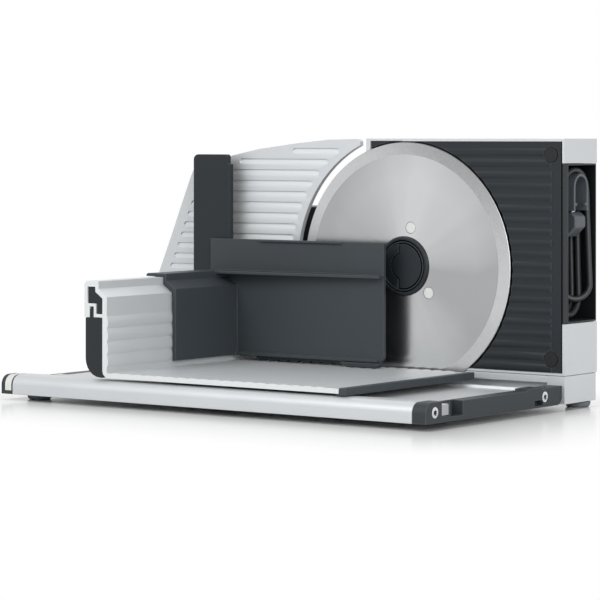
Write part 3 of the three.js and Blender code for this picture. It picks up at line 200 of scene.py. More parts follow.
def paint_edge_highlights(tree, shader, skin, tone, edge, rub):
    """Paints a highlight: lightens what lies within a width of an edge, where the surface turns
    sharply.
    """
    rounded = add(tree, "ShaderNodeBevel", {"samples": 6}, {"Radius": rub * MM})
    surface = add(tree, "ShaderNodeNewGeometry")
    level = add(tree, "ShaderNodeVectorMath", {"operation": "DOT_PRODUCT"},
                links={0: rounded, 1: surface.outputs["Normal"]})
    edge_highlight_mask = add(tree, "ShaderNodeMapRange", values={"From Min": 0.985, "From Max": 0.85},
                 links={"Value": level.outputs["Value"]})
    highlight_tone = [c + (grey - c) * edge for c, grey in zip(tone[:3], EDGE_HIGHLIGHT_GREY)] + [1]
    lighter = add(tree, "ShaderNodeMix", COLOUR_MIX, {7: highlight_tone}, {0: edge_highlight_mask, 6: skin})
    join(tree, shader, {"Base Color": lighter.outputs[2]})


def grained(name, tone, *values, metallic=0.0, ior=1.5, specular=0.5, **more):
    """A material with a grain: its shader's own values, and what grain() takes. The tone is
    a hex colour or the name of one of the slicer's colours."""
    material, tree, shader = new_material(name)
    shader.inputs["Metallic"].default_value = metallic
    shader.inputs["IOR"].default_value = ior
    shader.inputs["Specular IOR Level"].default_value = specular
    tone = linear(tone) if tone[0] == "#" else getattr(colours(), tone)
    grain(tree, shader, tone, *values, **more)
    return material


def anodised_extrusion():
    """Aluminium, extruded and satin anodised: a soft sheen with faint lines along the press.
    The saw left its right end; faces that face right are darkened as painted shade."""
    material = grained("anodised_aluminium_extrusion", "aluminium", 0.42, 1.4, 0.012,
                       0.05, 0.03, metallic=0.4, stretch=(0.02, 1, 1))
    return sawn_and_shaded_end(material, (1, 0, 0), "#A6A8AA")


def sawn_extrusion():
    """The same aluminium, extruded from the user's side to the back: the ends that the saw
    left face the user and the back, and the one facing the user is brighter than the anodised
    skin."""
    material = grained("anodised_aluminium_with_sawn_ends", "aluminium", 0.42, 1.4, 0.012,
                       0.05, 0.03, metallic=0.3, stretch=(1, 0.02, 1))
    return sawn_and_shaded_end(material, (0, -1, 0), "#DDE0E1")


def sawn_and_shaded_end(material, facing, code):
    """Colours the faces that face one way: bright sawn ends, and painted shade on the base's right
    end.
    """
    tree = material.node_tree
    shader = tree.nodes["Principled BSDF"]
    skin = shader.inputs["Base Color"].links[0].from_socket
    level = add(tree, "ShaderNodeVectorMath", {"operation": "DOT_PRODUCT"}, {1: facing},
                {0: add(tree, "ShaderNodeTexCoord").outputs["Normal"]})
    end = add(tree, "ShaderNodeMath", {"operation": "GREATER_THAN"}, {1: 0.9},
              {0: level.outputs["Value"]})
    sawn = add(tree, "ShaderNodeMix", COLOUR_MIX, {7: linear(code)}, {0: end, 6: skin})
    join(tree, shader, {"Base Color": sawn.outputs[2]})
    return material


def turned_steel():
    """Stainless blade steel, turned on a lathe: rings too fine to see bend each highlight
    into two fans. The rings are drawn 0.8 mm apart, coarser than real, so that they show."""
    material, tree, shader = new_material("turned_stainless_steel")
    shader.inputs["Metallic"].default_value = 1.0
    shader.inputs["Anisotropic"].default_value = 0.6
    place = add(tree, "ShaderNodeTexCoord").outputs["Object"]
    centred = add(tree, "ShaderNodeMapping",
                  values={"Location": (-BLADE_MIDDLE.x, 0, -BLADE_MIDDLE.z), "Scale": (1, 0, 1)},
                  links={"Vector": place})
    radius = add(tree, "ShaderNodeVectorMath", {"operation": "LENGTH"}, links={0: centred})
    rings = add(tree, "ShaderNodeTexNoise", {"noise_dimensions": "1D"},
                values={"Scale": 1 / (0.8 * MM), "Detail": 2.0},
                links={"W": radius.outputs["Value"]})
    bump = add(tree, "ShaderNodeBump", values={"Strength": 1.0, "Distance": 0.006 * MM},
               links={"Height": rings})
    round_way = add(tree, "ShaderNodeVectorMath", {"operation": "CROSS_PRODUCT"}, {1: (0, 1, 0)},
                    {0: centred})
    tangent = add(tree, "ShaderNodeVectorMath", {"operation": "NORMALIZE"}, links={0: round_way})
    spoke = add(tree, "ShaderNodeSeparateXYZ", links={0: centred})
    angle = add(tree, "ShaderNodeMath", {"operation": "ARCTAN2"},
                links={0: spoke.outputs["Z"], 1: spoke.outputs["X"]})
    # painted highlight and shade: brighter fans and darker sectors painted into the colour by the
    # angle round the hub
    fans = add(tree, "ShaderNodeTexNoise", {"noise_dimensions": "1D"},
               values={"Scale": 1.1, "Detail": 2.0, "Roughness": 0.45},
               links={"W": angle})
    doubled = add(tree, "ShaderNodeMath", {"operation": "MULTIPLY_ADD"},
                  values={1: 2.0, 2: math.radians(-145)}, links={0: angle})
    painted_fans = add(tree, "ShaderNodeMath", {"operation": "COSINE"}, links={0: doubled})
    lit = add(tree, "ShaderNodeMath", {"operation": "MULTIPLY_ADD"}, values={1: 0.4},
              links={0: painted_fans, 2: fans})
    # painted shade: the face's colour darkens towards the bevel
    painted_rim_shade = add(tree, "ShaderNodeMapRange",
               values={"From Min": 60 * MM, "From Max": 79 * MM, "To Max": -0.22},
               links={"Value": radius.outputs["Value"]})
    fans_and_rim_shade = add(tree, "ShaderNodeMath", links={0: lit, 1: painted_rim_shade})

    def shade(share):
        return [c * share for c in colours().blade] + [1]

    tone = add(tree, "ShaderNodeMix", COLOUR_MIX, {6: shade(0.62), 7: shade(1)}, {0: fans_and_rim_shade})
    # the ground bevel is duller than the turned face, and slightly mottled
    edge = BLADE_RADIUS - sizes().bevel_width
    ground = add(tree, "ShaderNodeMapRange",
                 values={"From Min": edge - 0.15 * MM, "From Max": edge + 0.15 * MM},
                 links={"Value": radius.outputs["Value"]})
    speckle = add(tree, "ShaderNodeTexNoise", values={"Scale": 1 / (1.6 * MM), "Detail": 2.0},
                  links={"Vector": place})
    # painted shade: the bevel's colour is darkest towards the upper right and lighter away from it
    single = add(tree, "ShaderNodeMath", {"operation": "ADD"}, values={1: math.radians(-65)},
                 links={0: angle})
    upward = add(tree, "ShaderNodeMath", {"operation": "COSINE"}, links={0: single})
    painted_bevel_shade = add(tree, "ShaderNodeMapRange",
                values={"From Min": 0.1, "From Max": 1.0, "To Min": 0.78, "To Max": -0.02},
                links={"Value": upward})
    speckle_and_painted_shade = add(tree, "ShaderNodeMath", {"operation": "MULTIPLY_ADD"}, values={1: 0.25},
                  links={0: speckle, 2: painted_bevel_shade})
    bevel_tone = add(tree, "ShaderNodeMix", COLOUR_MIX, {6: shade(0.34), 7: shade(0.9)},
                     {0: speckle_and_painted_shade})
    whole = add(tree, "ShaderNodeMix", COLOUR_MIX,
                links={0: ground, 6: tone.outputs[2], 7: bevel_tone.outputs[2]})
    rough = add(tree, "ShaderNodeMapRange", values={"To Min": 0.17, "To Max": 0.26},
                links={"Value": rings})
    duller = add(tree, "ShaderNodeMath", {"operation": "MULTIPLY_ADD"}, values={1: 0.2},
                 links={0: ground, 2: rough})
    join(tree, shader, {"Base Color": whole.outputs[2], "Roughness": duller, "Normal": bump,
                        "Tangent": tangent})
    return material


def moulded_abs(tone, name, edge=0.3, rub=0.9):
    """ABS, moulded in a spark-eroded tool: anthracite with a fine, even grain, a low sheen
    and a painted highlight that lightens its edges."""
    return grained("moulded_abs_" + name, tone, 0.5, 0.7, 0.03, 0.07, 0.05, ior=ABS_IOR,
                   specular=0.3, edge=edge, rub=rub)


ABS_IOR = 1.53
PVC_IOR = 1.52
MAKERS = {
    "extrusion": anodised_extrusion,
    "sawn": sawn_extrusion,
    "blade": turned_steel,
    "abs": lambda: moulded_abs("anthracite", "anthracite"),
    "light_abs": lambda: moulded_abs("anthracite_light", "light_anthracite"),
    "dark_abs": lambda: moulded_abs("anthracite_dark", "dark_anthracite"),
    "hub_abs": lambda: moulded_abs("anthracite_dark", "hub", 0.6, 0.35),
    "cover_abs": lambda: moulded_abs("#111518", "screw_cover", 0),
}
# The finishes that are a grain alone, as grained() takes them: the material's name, tone and
# roughness, the grain's size and depth in mm, and how far roughness and tone spread
GRAINS = {
    # Aluminium, bead blasted and anodised: an even, finely speckled silver
    "blasted": (("blasted_anodised_aluminium", "aluminium", 0.46, 0.9, 0.02, 0.07, 0.03),
                {"metallic": 0.4}),
    # ABS, moulded smooth and near black: deep shade with a weak gloss
    "liner": (("smooth_black_abs", "black", 0.42, 2.0, 0.01, 0.05, 0.08), {"ior": ABS_IOR}),
    # Painted shade: a near-black sheet at the bottom of a narrow gap between mouldings, from which
    # hardly any light returns
    "gap": (("deep_gap_between_mouldings", "#060709", 0.8, 1.5, 0.01, 0.05, 0.05),
            {"specular": 0.02}),
    # PVC sheath, extruded soft: a smooth grey skin with a broad highlight
    "cord": (("soft_pvc_sheath", "cord", 0.45, 1.6, 0.015, 0.06, 0.05), {"ior": PVC_IOR}),
    # ABS, moulded smooth in mid grey: an even surface with a soft highlight, and a painted
    # highlight along its edges
    "horn": (("smooth_grey_abs", "horn", 0.4, 1.2, 0.01, 0.05, 0.03),
             {"ior": ABS_IOR, "edge": 0.7, "rub": 0.45}),
    # Nylon, moulded and left its natural near-white: a smooth, waxy surface
    "nylon": (("natural_nylon", "nylon", 0.4, 1.2, 0.01, 0.05, 0.03), {"ior": ABS_IOR}),
    # ABS, moulded in off-white with a dull skin
    "inlay": (("dull_offwhite_abs", "inlay", 0.5, 0.9, 0.02, 0.06, 0.03), {"ior": ABS_IOR}),
    # Rubber, moulded: dull and grey, with a slightly mottled skin
    "rubber": (("moulded_rubber", "rubber", 0.82, 0.8, 0.04, 0.06, 0.08), {"ior": PVC_IOR}),
    # Steel, zinc plated: bright, with a slight brushed texture
    "steel": (("zinc_plated_steel", "#D6D8DA", 0.26, 0.6, 0.008, 0.06, 0.03),
              {"metallic": 1.0, "stretch": (1, 1, 0.2)}),
    # Zinc-coated sheet and castings inside the housing: flat grey with faint spangle
    "zinc": (("zinc_coated_sheet", "#9A9EA2", 0.42, 3.0, 0.02, 0.1, 0.08), {"metallic": 0.9}),
}
FINISHES = {}


def finish(name):
    """The finish of that name, made once."""
    if name not in FINISHES:
        values, more = GRAINS.get(name, ((), {}))
        FINISHES[name] = grained(*values, **more) if values else MAKERS[name]()
    return FINISHES[name]


# ---- making and finishing meshes


def link(name, data):
    """A new object for a mesh, curve, lamp or camera, at the origin."""
    obj = bpy.data.objects.new(name, data)
    bpy.context.scene.collection.objects.link(obj)
    return obj


def from_bmesh(name, bm, turn_out=True):
    """Turns a bmesh into an object. Its faces are turned out, if they aren't known to be."""
    if turn_out:
        bmesh.ops.recalc_face_normals(bm, faces=bm.faces)
    mesh = bpy.data.meshes.new(name)
    bm.to_mesh(mesh)
    bm.free()
    return link(name, mesh)


def settle(obj, smooth_degrees=32):
    """Applies an object's modifiers and shades it smooth up to an angle."""
    bpy.context.view_layer.update()
    evaluated = obj.evaluated_get(bpy.context.evaluated_depsgraph_get())
    mesh = bpy.data.meshes.new_from_object(evaluated)
    obj.modifiers.clear()
    old = obj.data
    obj.data = mesh
    bpy.data.meshes.remove(old)
    mesh.shade_smooth()
    mesh.set_sharp_from_angle(angle=math.radians(smooth_degrees))
    return obj


def soften(obj, width, segments=2, degrees=30):
    """Rounds an object's sharp edges by a width and settles it."""
    rounding = obj.modifiers.new("rounded_edges", "BEVEL")
    rounding.width = width
    rounding.segments = segments
    rounding.limit_method = "ANGLE"
    rounding.angle_limit = math.radians(degrees)
    rounding.use_clamp_overlap = True
    rounding.miter_outer = "MITER_ARC"
    weights = obj.modifiers.new("flat_faces", "WEIGHTED_NORMAL")
    weights.keep_sharp = True
    obj.data.shade_smooth()
    return settle(obj, 40)


def copy_of(node, name, whole=True):
    """A merged copy of a CAD node, with its flat faces whole again if they have no holes."""
    bm = bmesh.new()
    bm.from_mesh(frame["nodes"][node].data)
    bmesh.ops.remove_doubles(bm, verts=bm.verts, dist=0.002 * MM)
    if whole:
        bmesh.ops.dissolve_limit(bm, angle_limit=math.radians(0.4), verts=bm.verts, edges=bm.edges)
    return from_bmesh(name, bm, turn_out=False)


def wear(obj, finish_name, body, *nodes):
    """Gives a piece its finish, the body that it rides on and the nodes that it stands for."""
    obj.data.materials.clear()
    obj.data.materials.append(finish(finish_name))
    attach(obj, body)
    if nodes:
        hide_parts(*nodes)
    return obj


def dress(node, name, finish_name, body, width, segments=2, degrees=30, whole=True):
    """A copy of a node with rounded edges, in its finish."""
    piece = soften(copy_of(node, name, whole), width, segments, degrees)
    return wear(piece, finish_name, body, node)


def plain(node, finish_name):
    """A CAD node that keeps its own mesh and gets its finish."""
    obj = frame["nodes"][node]
    obj.data.materials.clear()
    obj.data.materials.append(finish(finish_name))


def ring_of(bm, points):
    """One vertex for each point."""
    return [bm.verts.new(p) for p in points]


def bridge(bm, first, second):
    """Faces between two closed rings of the same count."""
    for i, low in enumerate(first):
        j = (i + 1) % len(first)
        bm.faces.new((low, first[j], second[j], second[i]))


def turned(name, profile, steps=96):
    """A hollow solid turned about the blade's axis. The profile's points are radius and Y,
    in metres, and close on themselves."""
    bm = bmesh.new()
    rings = [ring_of(bm, [
        (BLADE_MIDDLE.x + radius * math.cos(2 * math.pi * i / steps), y,
         BLADE_MIDDLE.z + radius * math.sin(2 * math.pi * i / steps)) for i in range(steps)])
        for radius, y in profile]
    for first, second in zip(rings, rings[1:] + rings[:1]):
        bridge(bm, first, second)
    return from_bmesh(name, bm)


def slab(name, outline, axis, start, end):
    """A flat outline, in metres, drawn out along X, Y or Z from start to end."""
    bm = bmesh.new()
    k = "xyz".index(axis)
    low, high = [ring_of(bm, [(*point[:k], depth, *point[k:]) for point in outline])
                 for depth in (start, end)]
    bridge(bm, low, high)
    bm.faces.new(low)
    bm.faces.new(high)
    return from_bmesh(name, bm)


def arc(u, v, radius, start, end, steps):
    """Points on an arc, in degrees."""
    return [(u + radius * math.cos(math.radians(start + (end - start) * i / steps)),
             v + radius * math.sin(math.radians(start + (end - start) * i / steps)))
            for i in range(steps + 1)]


def circle(u, v, radius, steps=36):
    """Points round a whole circle."""
    return arc(u, v, radius, 0, 360 - 360 / steps, steps - 1)


def rectangle(left, right, low, high):
    return [(left, low), (right, low), (right, high), (left, high)]


def cut(obj, cutters):
    """Cuts each cutter out of an object, and removes the cutters."""
    for cutter in cutters:
        step = obj.modifiers.new("cut", "BOOLEAN")
        step.operation = "DIFFERENCE"
        step.solver = "EXACT"
        step.object = cutter
    settle(obj)
    for cutter in cutters:
        bpy.data.objects.remove(cutter)
    return obj


# ---- repeats, made with Geometry Nodes


def repeat_tree(name, circular):
    """A tree that repeats its object along an offset, or round an axis through a centre."""
    tree = bpy.data.node_groups.new(name, "GeometryNodeTree")
    for label, kind in (("Geometry", "Geometry"), ("Count", "Int"), ("Step", "Vector"),
                        ("Centre", "Vector"), ("Finish", "Material")):
        tree.interface.new_socket(label, in_out="INPUT", socket_type="NodeSocket" + kind)
    tree.interface.new_socket("Geometry", in_out="OUTPUT", socket_type="NodeSocketGeometry")
    given = add(tree, "NodeGroupInput")
    points = add(tree, "GeometryNodeMeshLine", {"mode": "OFFSET"},
                 links={"Count": given.outputs["Count"]})
    copies = add(tree, "GeometryNodeInstanceOnPoints",
                 links={"Points": points, "Instance": given.outputs["Geometry"]})
    number = add(tree, "GeometryNodeInputIndex")
    if circular:
        points.inputs["Offset"].default_value = (0, 0, 0)  # every copy starts in one place
        turn = add(tree, "ShaderNodeVectorMath", {"operation": "SCALE"},
                   links={0: given.outputs["Step"], "Scale": number})
        copies = add(tree, "GeometryNodeRotateInstances", values={"Local Space": False},
                     links={"Instances": copies, "Rotation": turn,
                            "Pivot Point": given.outputs["Centre"]})
    else:
        join(tree, points, {"Offset": given.outputs["Step"]})
    whole = add(tree, "GeometryNodeRealizeInstances", links={"Geometry": copies})
    painted = add(tree, "GeometryNodeSetMaterial",
                  links={"Geometry": whole, "Material": given.outputs["Finish"]})
    add(tree, "NodeGroupOutput", links={"Geometry": painted})
    return tree


TREES = {}


def repeated(obj, count, step, finish_name, centre=None):
    """The object repeated count times: by a step in metres, or round a centre by a turn."""
    circular = centre is not None
    if circular not in TREES:
        TREES[circular] = repeat_tree("repeat_round" if circular else "repeat_along", circular)
    modifier = obj.modifiers.new("repeat", "NODES")
    modifier.node_group = TREES[circular]
    values = {"Count": count, "Step": tuple(step), "Centre": tuple(centre or (0, 0, 0)),
              "Finish": finish(finish_name)}
    for item in TREES[circular].interface.items_tree:
        if item.name in values:
            modifier[item.identifier] = values[item.name]
    return settle(obj)


# ---- the pieces

CORNERS = ("front_left", "front_right", "back_left", "back_right")


class MakeBase(bpy.types.Operator):
    """Base extrusion, its two end caps with inlay and screws, and the rubber feet"""

    bl_idname = "slicer.make_base"
    bl_label = "Base"

    def execute(self, context):
        s = sizes()
        dress("base_extrusion", "base_deck", "extrusion", "base", s.extruded_edge)
        dress("base_left_cap", "left_end_moulding", "abs", "base", s.edge)
        dress("left_cap_inlay", "left_light_strip", "inlay", "base", s.extruded_edge)
        dress("base_right_cap", "right_end_moulding", "abs", "base", s.edge * 1.4, 3)
        for node in ("cap_screw_front", "cap_screw_back"):
            self.screw(node, s)
        for corner in CORNERS:
            dress("foot_" + corner, "rubber_foot_" + corner, "rubber", "base", 1.5 * MM, 4)
        return {"FINISHED"}

    def screw(self, node, s):
        """A countersunk screw with a six-lobed socket, its head facing +X."""
        low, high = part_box(node)
        middle = (low + high) / 2
        face = high.x
        lobe_radius = 0.45 * MM
        head = slab(node + "_head", circle(middle.y, middle.z, s.screw_radius), "x", low.x, face)
        soften(head, 0.35 * MM, 3)
        depth = face - 1.5 * MM, face + 0.5 * MM
        lobe = slab(node + "_lobe", [
            (middle.y - lobe_radius, middle.z), (middle.y + lobe_radius, middle.z),
            *arc(middle.y, middle.z + 1.5 * MM, lobe_radius, 0, 180, 6)], "x", *depth)
        lobes = repeated(lobe, 6, (math.radians(60), 0, 0), "steel", middle)
        core = slab(node + "_core", circle(middle.y, middle.z, 1.35 * MM, 24), "x", *depth)
        cut(cut(head, [core]), [lobes])
        wear(head, "steel", "base", node)
        # painted shade: a dark disc deep in the socket
        socket_shade = slab(node + "_socket", circle(middle.y, middle.z, 2.1 * MM, 24), "x",
                      face - 1.4 * MM, face - 0.5 * MM)
        wear(settle(socket_shade), "gap", "base")


class MakeHousing(bpy.types.Operator):
    """Plinth, metal shell and back cover with its slats"""

    bl_idname = "slicer.make_housing"
    bl_label = "Housing"

    def execute(self, context):
        s = sizes()
        dress("housing_plinth", "plinth_casting", "blasted", "base", s.edge)
        dress("housing_shell", "shell_sheet", "blasted", "base", s.extruded_edge)
        dress("back_cover", "rear_moulding", "dark_abs", "base", s.extruded_edge, 2, 30, False)
        low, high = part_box("back_cover")
        slat = slab("rear_slats", rectangle(
            low.x + 14 * MM, low.x + 15.2 * MM, low.z + 66 * MM, high.z - 20 * MM),
            "y", high.y - 0.4 * MM, high.y + 0.25 * MM)
        wear(repeated(slat, 10, (7 * MM, 0, 0), "dark_abs"), "dark_abs", "base")
        return {"FINISHED"}


class MakePanel(bpy.types.Operator):
    """Ribbed front panel and its two screw covers"""

    bl_idname = "slicer.make_panel"
    bl_label = "Front panel"

    def execute(self, context):
        s = sizes()
        dress("front_panel", "ribbed_panel", "dark_abs", "base", 0.18 * MM)
        for node in ("panel_screw_cap_low", "panel_screw_cap_high"):
            dress(node, node.replace("cap", "cover"), "cover_abs", "base", s.extruded_edge)
        # the narrow gap between the panel and the shell's right frame
        low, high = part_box("front_panel")
        rim = low.y + 0.6 * MM
        shade = slab("panel_gap_shade", rectangle(
            high.x - 0.9 * MM, high.x, rim, rim + 0.6 * MM), "z", low.z, high.z)
        wear(settle(shade), "gap", "base")
        return {"FINISHED"}


class MakeCompartment(bpy.types.Operator):
    """Cord compartment, the horns that the cord is wound on, and the cord's gland"""

    bl_idname = "slicer.make_compartment"
    bl_label = "Cord compartment"

    def execute(self, context):
        s = sizes()
        dress("cord_compartment", "compartment_liner", "liner", "base", s.extruded_edge)
        for side in ("upper", "lower"):
            dress("cord_horn_" + side, side + "_horn", "horn", "base", 0.5 * MM, 3)
        dress("cord_gland", "gland_collar", "liner", "base", s.extruded_edge)
        low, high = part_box("cord_compartment")
        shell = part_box("housing_shell")[0]
        trim = slab("compartment_front_trim", rectangle(
            high.x - 1.2 * MM, high.x, shell.y + 0.2 * MM, low.y - 0.1 * MM), "z",
            low.z, high.z)
        wear(soften(trim, s.extruded_edge), "dark_abs", "base")
        return {"FINISHED"}


class MakeCord(bpy.types.Operator):
    """The mains cord, wound round the two horns"""

    bl_idname = "slicer.make_cord"
    bl_label = "Cord"

    def execute(self, context):
        route = smooth_route(cord_route())
        curve = bpy.data.curves.new("wound_cord", "CURVE")
        curve.dimensions = "3D"
        curve.bevel_depth = sizes().cord_thickness / 2
        curve.bevel_resolution = 4
        curve.use_fill_caps = True
        spline = curve.splines.new("POLY")
        spline.points.add(len(route) - 1)
        for point, place in zip(spline.points, route):
            point.co = (*place, 1)
        cord = link("wound_cord", curve)
        curve.materials.append(finish("cord"))
        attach(cord, "base")
        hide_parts("cord_hank")
        plug = [frame["nodes"][n] for n in ("plug_pin_1", "plug_pin_2")]
        plug += [bpy.data.objects[n] for n in ("plug_moulding", "plug_strain_tail")]
        return {"FINISHED"}


class Cord:
    """The cord's route in the compartment, in mm from the base's left front corner"""

    plug_x, plug_y, tail_z, gap, end_run = 344.6, 189.2, 90, 0.3, 5.5
    store_middle, outer_x, gland_x = 189.2, 358.9, 303.8
    fold_radius, fold_top, fold_bottom, exit_radius = 14.7, 148.1, 77.9, 9.6
    first_pitch, pitch, loops = 9, 5.3, 6
    run_steps, fold_steps, turn_steps = 4, 8, 6


def cord_route():
    """The same points as the solid cord's, in metres in the frame."""
    c = Cord
    near = c.store_middle - c.fold_radius
    far = c.store_middle + c.fold_radius
    tail = Vector((c.plug_x, c.plug_y, c.tail_z - c.gap))
    turn_from = tail - Vector((0, 0, c.end_run))
    points = [tail, turn_from]
    across = Vector((c.outer_x - c.plug_x, far - c.plug_y, 0))
    centre = turn_from + across / 2
    for i in range(1, c.turn_steps * 2 + 1):
        a = math.pi * i / (c.turn_steps * 2)
        points.append(centre - across / 2 * math.cos(a)
                      - Vector((0, 0, across.length / 2 * math.sin(a))))
    run = c.fold_top - c.fold_bottom
    loop_length = 2 * run + 2 * math.pi * c.fold_radius
    travelled = 0.0

    def place(y, z):
        turns = travelled / loop_length
        depth = c.first_pitch * min(turns, 1) + c.pitch * max(turns - 1, 0)
        points.append(Vector((c.outer_x - depth, y, z)))

    def straight(y, start, end, steps):
        nonlocal travelled
        for i in range(1, steps + 1):
            travelled += abs(end - start) / steps
            place(y, start + (end - start) * i / steps)

    def fold(z, sign):
        nonlocal travelled
        for i in range(1, c.fold_steps + 1):
            a = math.pi * i / c.fold_steps
            travelled += math.pi * c.fold_radius / c.fold_steps
            place(c.store_middle + sign * c.fold_radius * math.cos(a),
                  z + sign * c.fold_radius * math.sin(a))

    straight(far, turn_from.z, c.fold_top, c.run_steps)
    for i in range(c.loops):
        fold(c.fold_top, 1)
        straight(near, c.fold_top, c.fold_bottom, c.run_steps)
        fold(c.fold_bottom, -1)
        if i < c.loops - 1:
            straight(far, c.fold_bottom, c.fold_top, c.run_steps)
    middle = (c.fold_top + c.fold_bottom) / 2
    straight(far, c.fold_bottom, middle, c.run_steps // 2)
    last = points[-1].copy()
    for i in range(1, c.turn_steps + 1):
        a = math.pi * i / (2 * c.turn_steps)
        points.append(Vector((last.x - c.exit_radius * (1 - math.cos(a)), far,
                              last.z + c.exit_radius * math.sin(a))))
    points.append(Vector((c.gland_x, far, points[-1].z)))
    return [at(*p) for p in points]


def smooth_route(points, steps=4):
    """A smooth line through the points, by Catmull-Rom's rule."""
    dense = []
    for i in range(len(points) - 1):
        p0 = points[max(i - 1, 0)]
        p1, p2 = points[i], points[i + 1]
        p3 = points[min(i + 2, len(points) - 1)]
        for k in range(steps):
            t = k / steps
            dense.append(0.5 * ((2 * p1) + (p2 - p0) * t + (2 * p0 - 5 * p1 + 4 * p2 - p3) * t * t
                                + (3 * p1 - p0 - 3 * p2 + p3) * t ** 3))
    dense.append(points[-1].copy())
    return dense


class MakePlug(bpy.types.Operator):
    """Mains plug: moulded body, ringed strain relief and two pins"""

    bl_idname = "slicer.make_plug"
    bl_label = "Plug"

    def execute(self, context):
        dress("plug_body", "plug_moulding", "horn", "base", 1.4 * MM, 4, 20)
        low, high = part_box("plug_tail")
        middle = (low + high) / 2
        top_radius = (high.x - low.x) / 2
        core = bmesh.new()
        # shares of the tail's height and of its top radius
        rings = [ring_of(core, [
            (x, y, low.z + (high.z - low.z) * share)
            for x, y in circle(middle.x, middle.y, top_radius * radius, 24)])
            for share, radius in ((0, 0.5), (0.06, 0.56), (0.5, 0.68), (1, 0.86))]
        for first, second in zip(rings, rings[1:]):
            bridge(core, first, second)
        core.faces.new(rings[0])
        core.faces.new(rings[-1])
        wear(settle(from_bmesh("plug_strain_tail", core)), "horn", "base", "plug_tail")
        band = slab("plug_tail_rings", circle(middle.x, middle.y, top_radius * 0.84, 24),
                    "z", low.z + 5 * MM, low.z + 6.9 * MM)
        soften(band, 0.6 * MM)
        wear(repeated(band, 6, (0, 0, 3.4 * MM), "horn"), "horn", "base")
        plain("plug_pin_1", "steel")
        plain("plug_pin_2", "steel")
        return {"FINISHED"}


class MakeBlade(bpy.types.Operator):
    """The round blade with its ground bevel, and the drive disc behind it"""

    bl_idname = "slicer.make_blade"
    bl_label = "Blade"

    def execute(self, context):
        front, back = BLADE_LOW.y, BLADE_HIGH.y
        flat = BLADE_RADIUS - sizes().bevel_width
        hole = 5.4 * MM
        profile = [
            (hole, front), (flat - 0.25 * MM, front), (flat, front + 0.02 * MM),
            (flat + 0.25 * MM, front + 0.07 * MM),
            (BLADE_RADIUS - 0.3 * MM, back - 0.42 * MM), (BLADE_RADIUS, back - 0.12 * MM),
            (BLADE_RADIUS - 0.1 * MM, back), (hole, back)]
        blade = turned("slicing_blade", profile, 240)
        cut(blade, [slab("drill", circle(x, z, 4.2 * MM), "y", front - MM, back + MM)
                    for x, z in boss_places()])
        wear(blade, "blade", "blade_unit", "blade")
        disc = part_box("drive_disc")[0].y
        for i, (x, z) in enumerate(boss_places()):
            boss = slab(f"drive_boss_{i + 1}", circle(x, z, 3.9 * MM), "y",
                        disc - 0.05 * MM, disc + 2.4 * MM)
            wear(soften(boss, 0.4 * MM, 3), "nylon", "blade_unit")
        plain("drive_disc", "nylon")
        return {"FINISHED"}


def boss_places():
    """Where the drive disc's three bosses come through the blade."""
    spread, first = 27.6 * MM, 78.4
    return arc(BLADE_MIDDLE.x, BLADE_MIDDLE.z, spread, first, first + 240, 2)


class MakeHub(bpy.types.Operator):
    """Hub ring with its grooves, and the lock with its raised half"""

    bl_idname = "slicer.make_hub"
    bl_label = "Hub"

    def execute(self, context):
        s = sizes()
        low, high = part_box("hub_ring")
        front, back = low.y, high.y
        r = s.hub_radius
        inner = s.lock_radius + 0.35 * MM
        # mm outwards from the inner radius, and mm behind the front
        groove = ((0, 0.4), (0.25, 0.1), (0.8, 0.1), (1, 0.4), (1, 1.3), (1.95, 1.3),
                  (1.95, 0.3), (2.15, 0.05), (2.5, 0))
        rim = ((-1.3, 0), (-0.75, 0.2), (-0.4, 0.8))
        profile = [
            (inner, back), *((inner + out * MM, front + deep * MM) for out, deep in groove),
            *((r + out * MM, front + deep * MM) for out, deep in rim),
            (r, back - 0.3 * MM), (r, back)]
        ring = turned("hub_moulding", profile, 128)
        wear(settle(ring, 24), "hub_abs", "blade_unit", "hub_ring")
        for name, near, far in (("hub_groove_shade", 1, 1.95), ("hub_gap_shade", -0.45, 0.05)):
            shade = turned(name, rectangle(
                inner + near * MM, inner + far * MM, front + 0.6 * MM, front + 1.4 * MM))
            wear(settle(shade), "gap", "blade_unit")
        self.lock(s)
        return {"FINISHED"}

    def lock(self, s):
        """A disc whose right part with a round boss stands a step above the left."""
        low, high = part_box("hub_lock")
        cx, cz = BLADE_MIDDLE.x, BLADE_MIDDLE.z
        radius = s.lock_radius
        face = low.y + 0.45 * MM
        disc = slab("lock_disc", circle(cx, cz, radius, 120), "y", face, high.y)
        soften(disc, 0.25 * MM, 2)
        grip_radius = radius - 0.6 * MM
        boss = 8.9 * MM
        split = -2.4 * MM

        def half(name, wider, round_edge, start, end):
            round_boss = boss + wider
            reach = math.degrees(math.acos((split - wider) / round_edge))
            boss_reach = math.degrees(math.acos((split - wider) / round_boss))
            outline = arc(cx, cz, round_edge, -reach, reach, 60)
            outline += arc(cx, cz, round_boss, boss_reach, 360 - boss_reach, 40)
            return slab(name, outline, "y", start, end)

        cut(disc, [half("groove", 1.1 * MM, radius + MM, face - MM, face + 0.6 * MM)])
        wear(disc, "hub_abs", "lock", "hub_lock")
        shade = half("lock_groove_shade", 1.05 * MM, radius - 0.05 * MM, face + 0.3 * MM,
                     face + 0.65 * MM)
        wear(settle(shade), "gap", "lock")
        grip = half("lock_grip", 0, grip_radius, low.y, face + 0.6 * MM)
        wear(soften(grip, 0.2 * MM, 2, 25), "hub_abs", "lock")


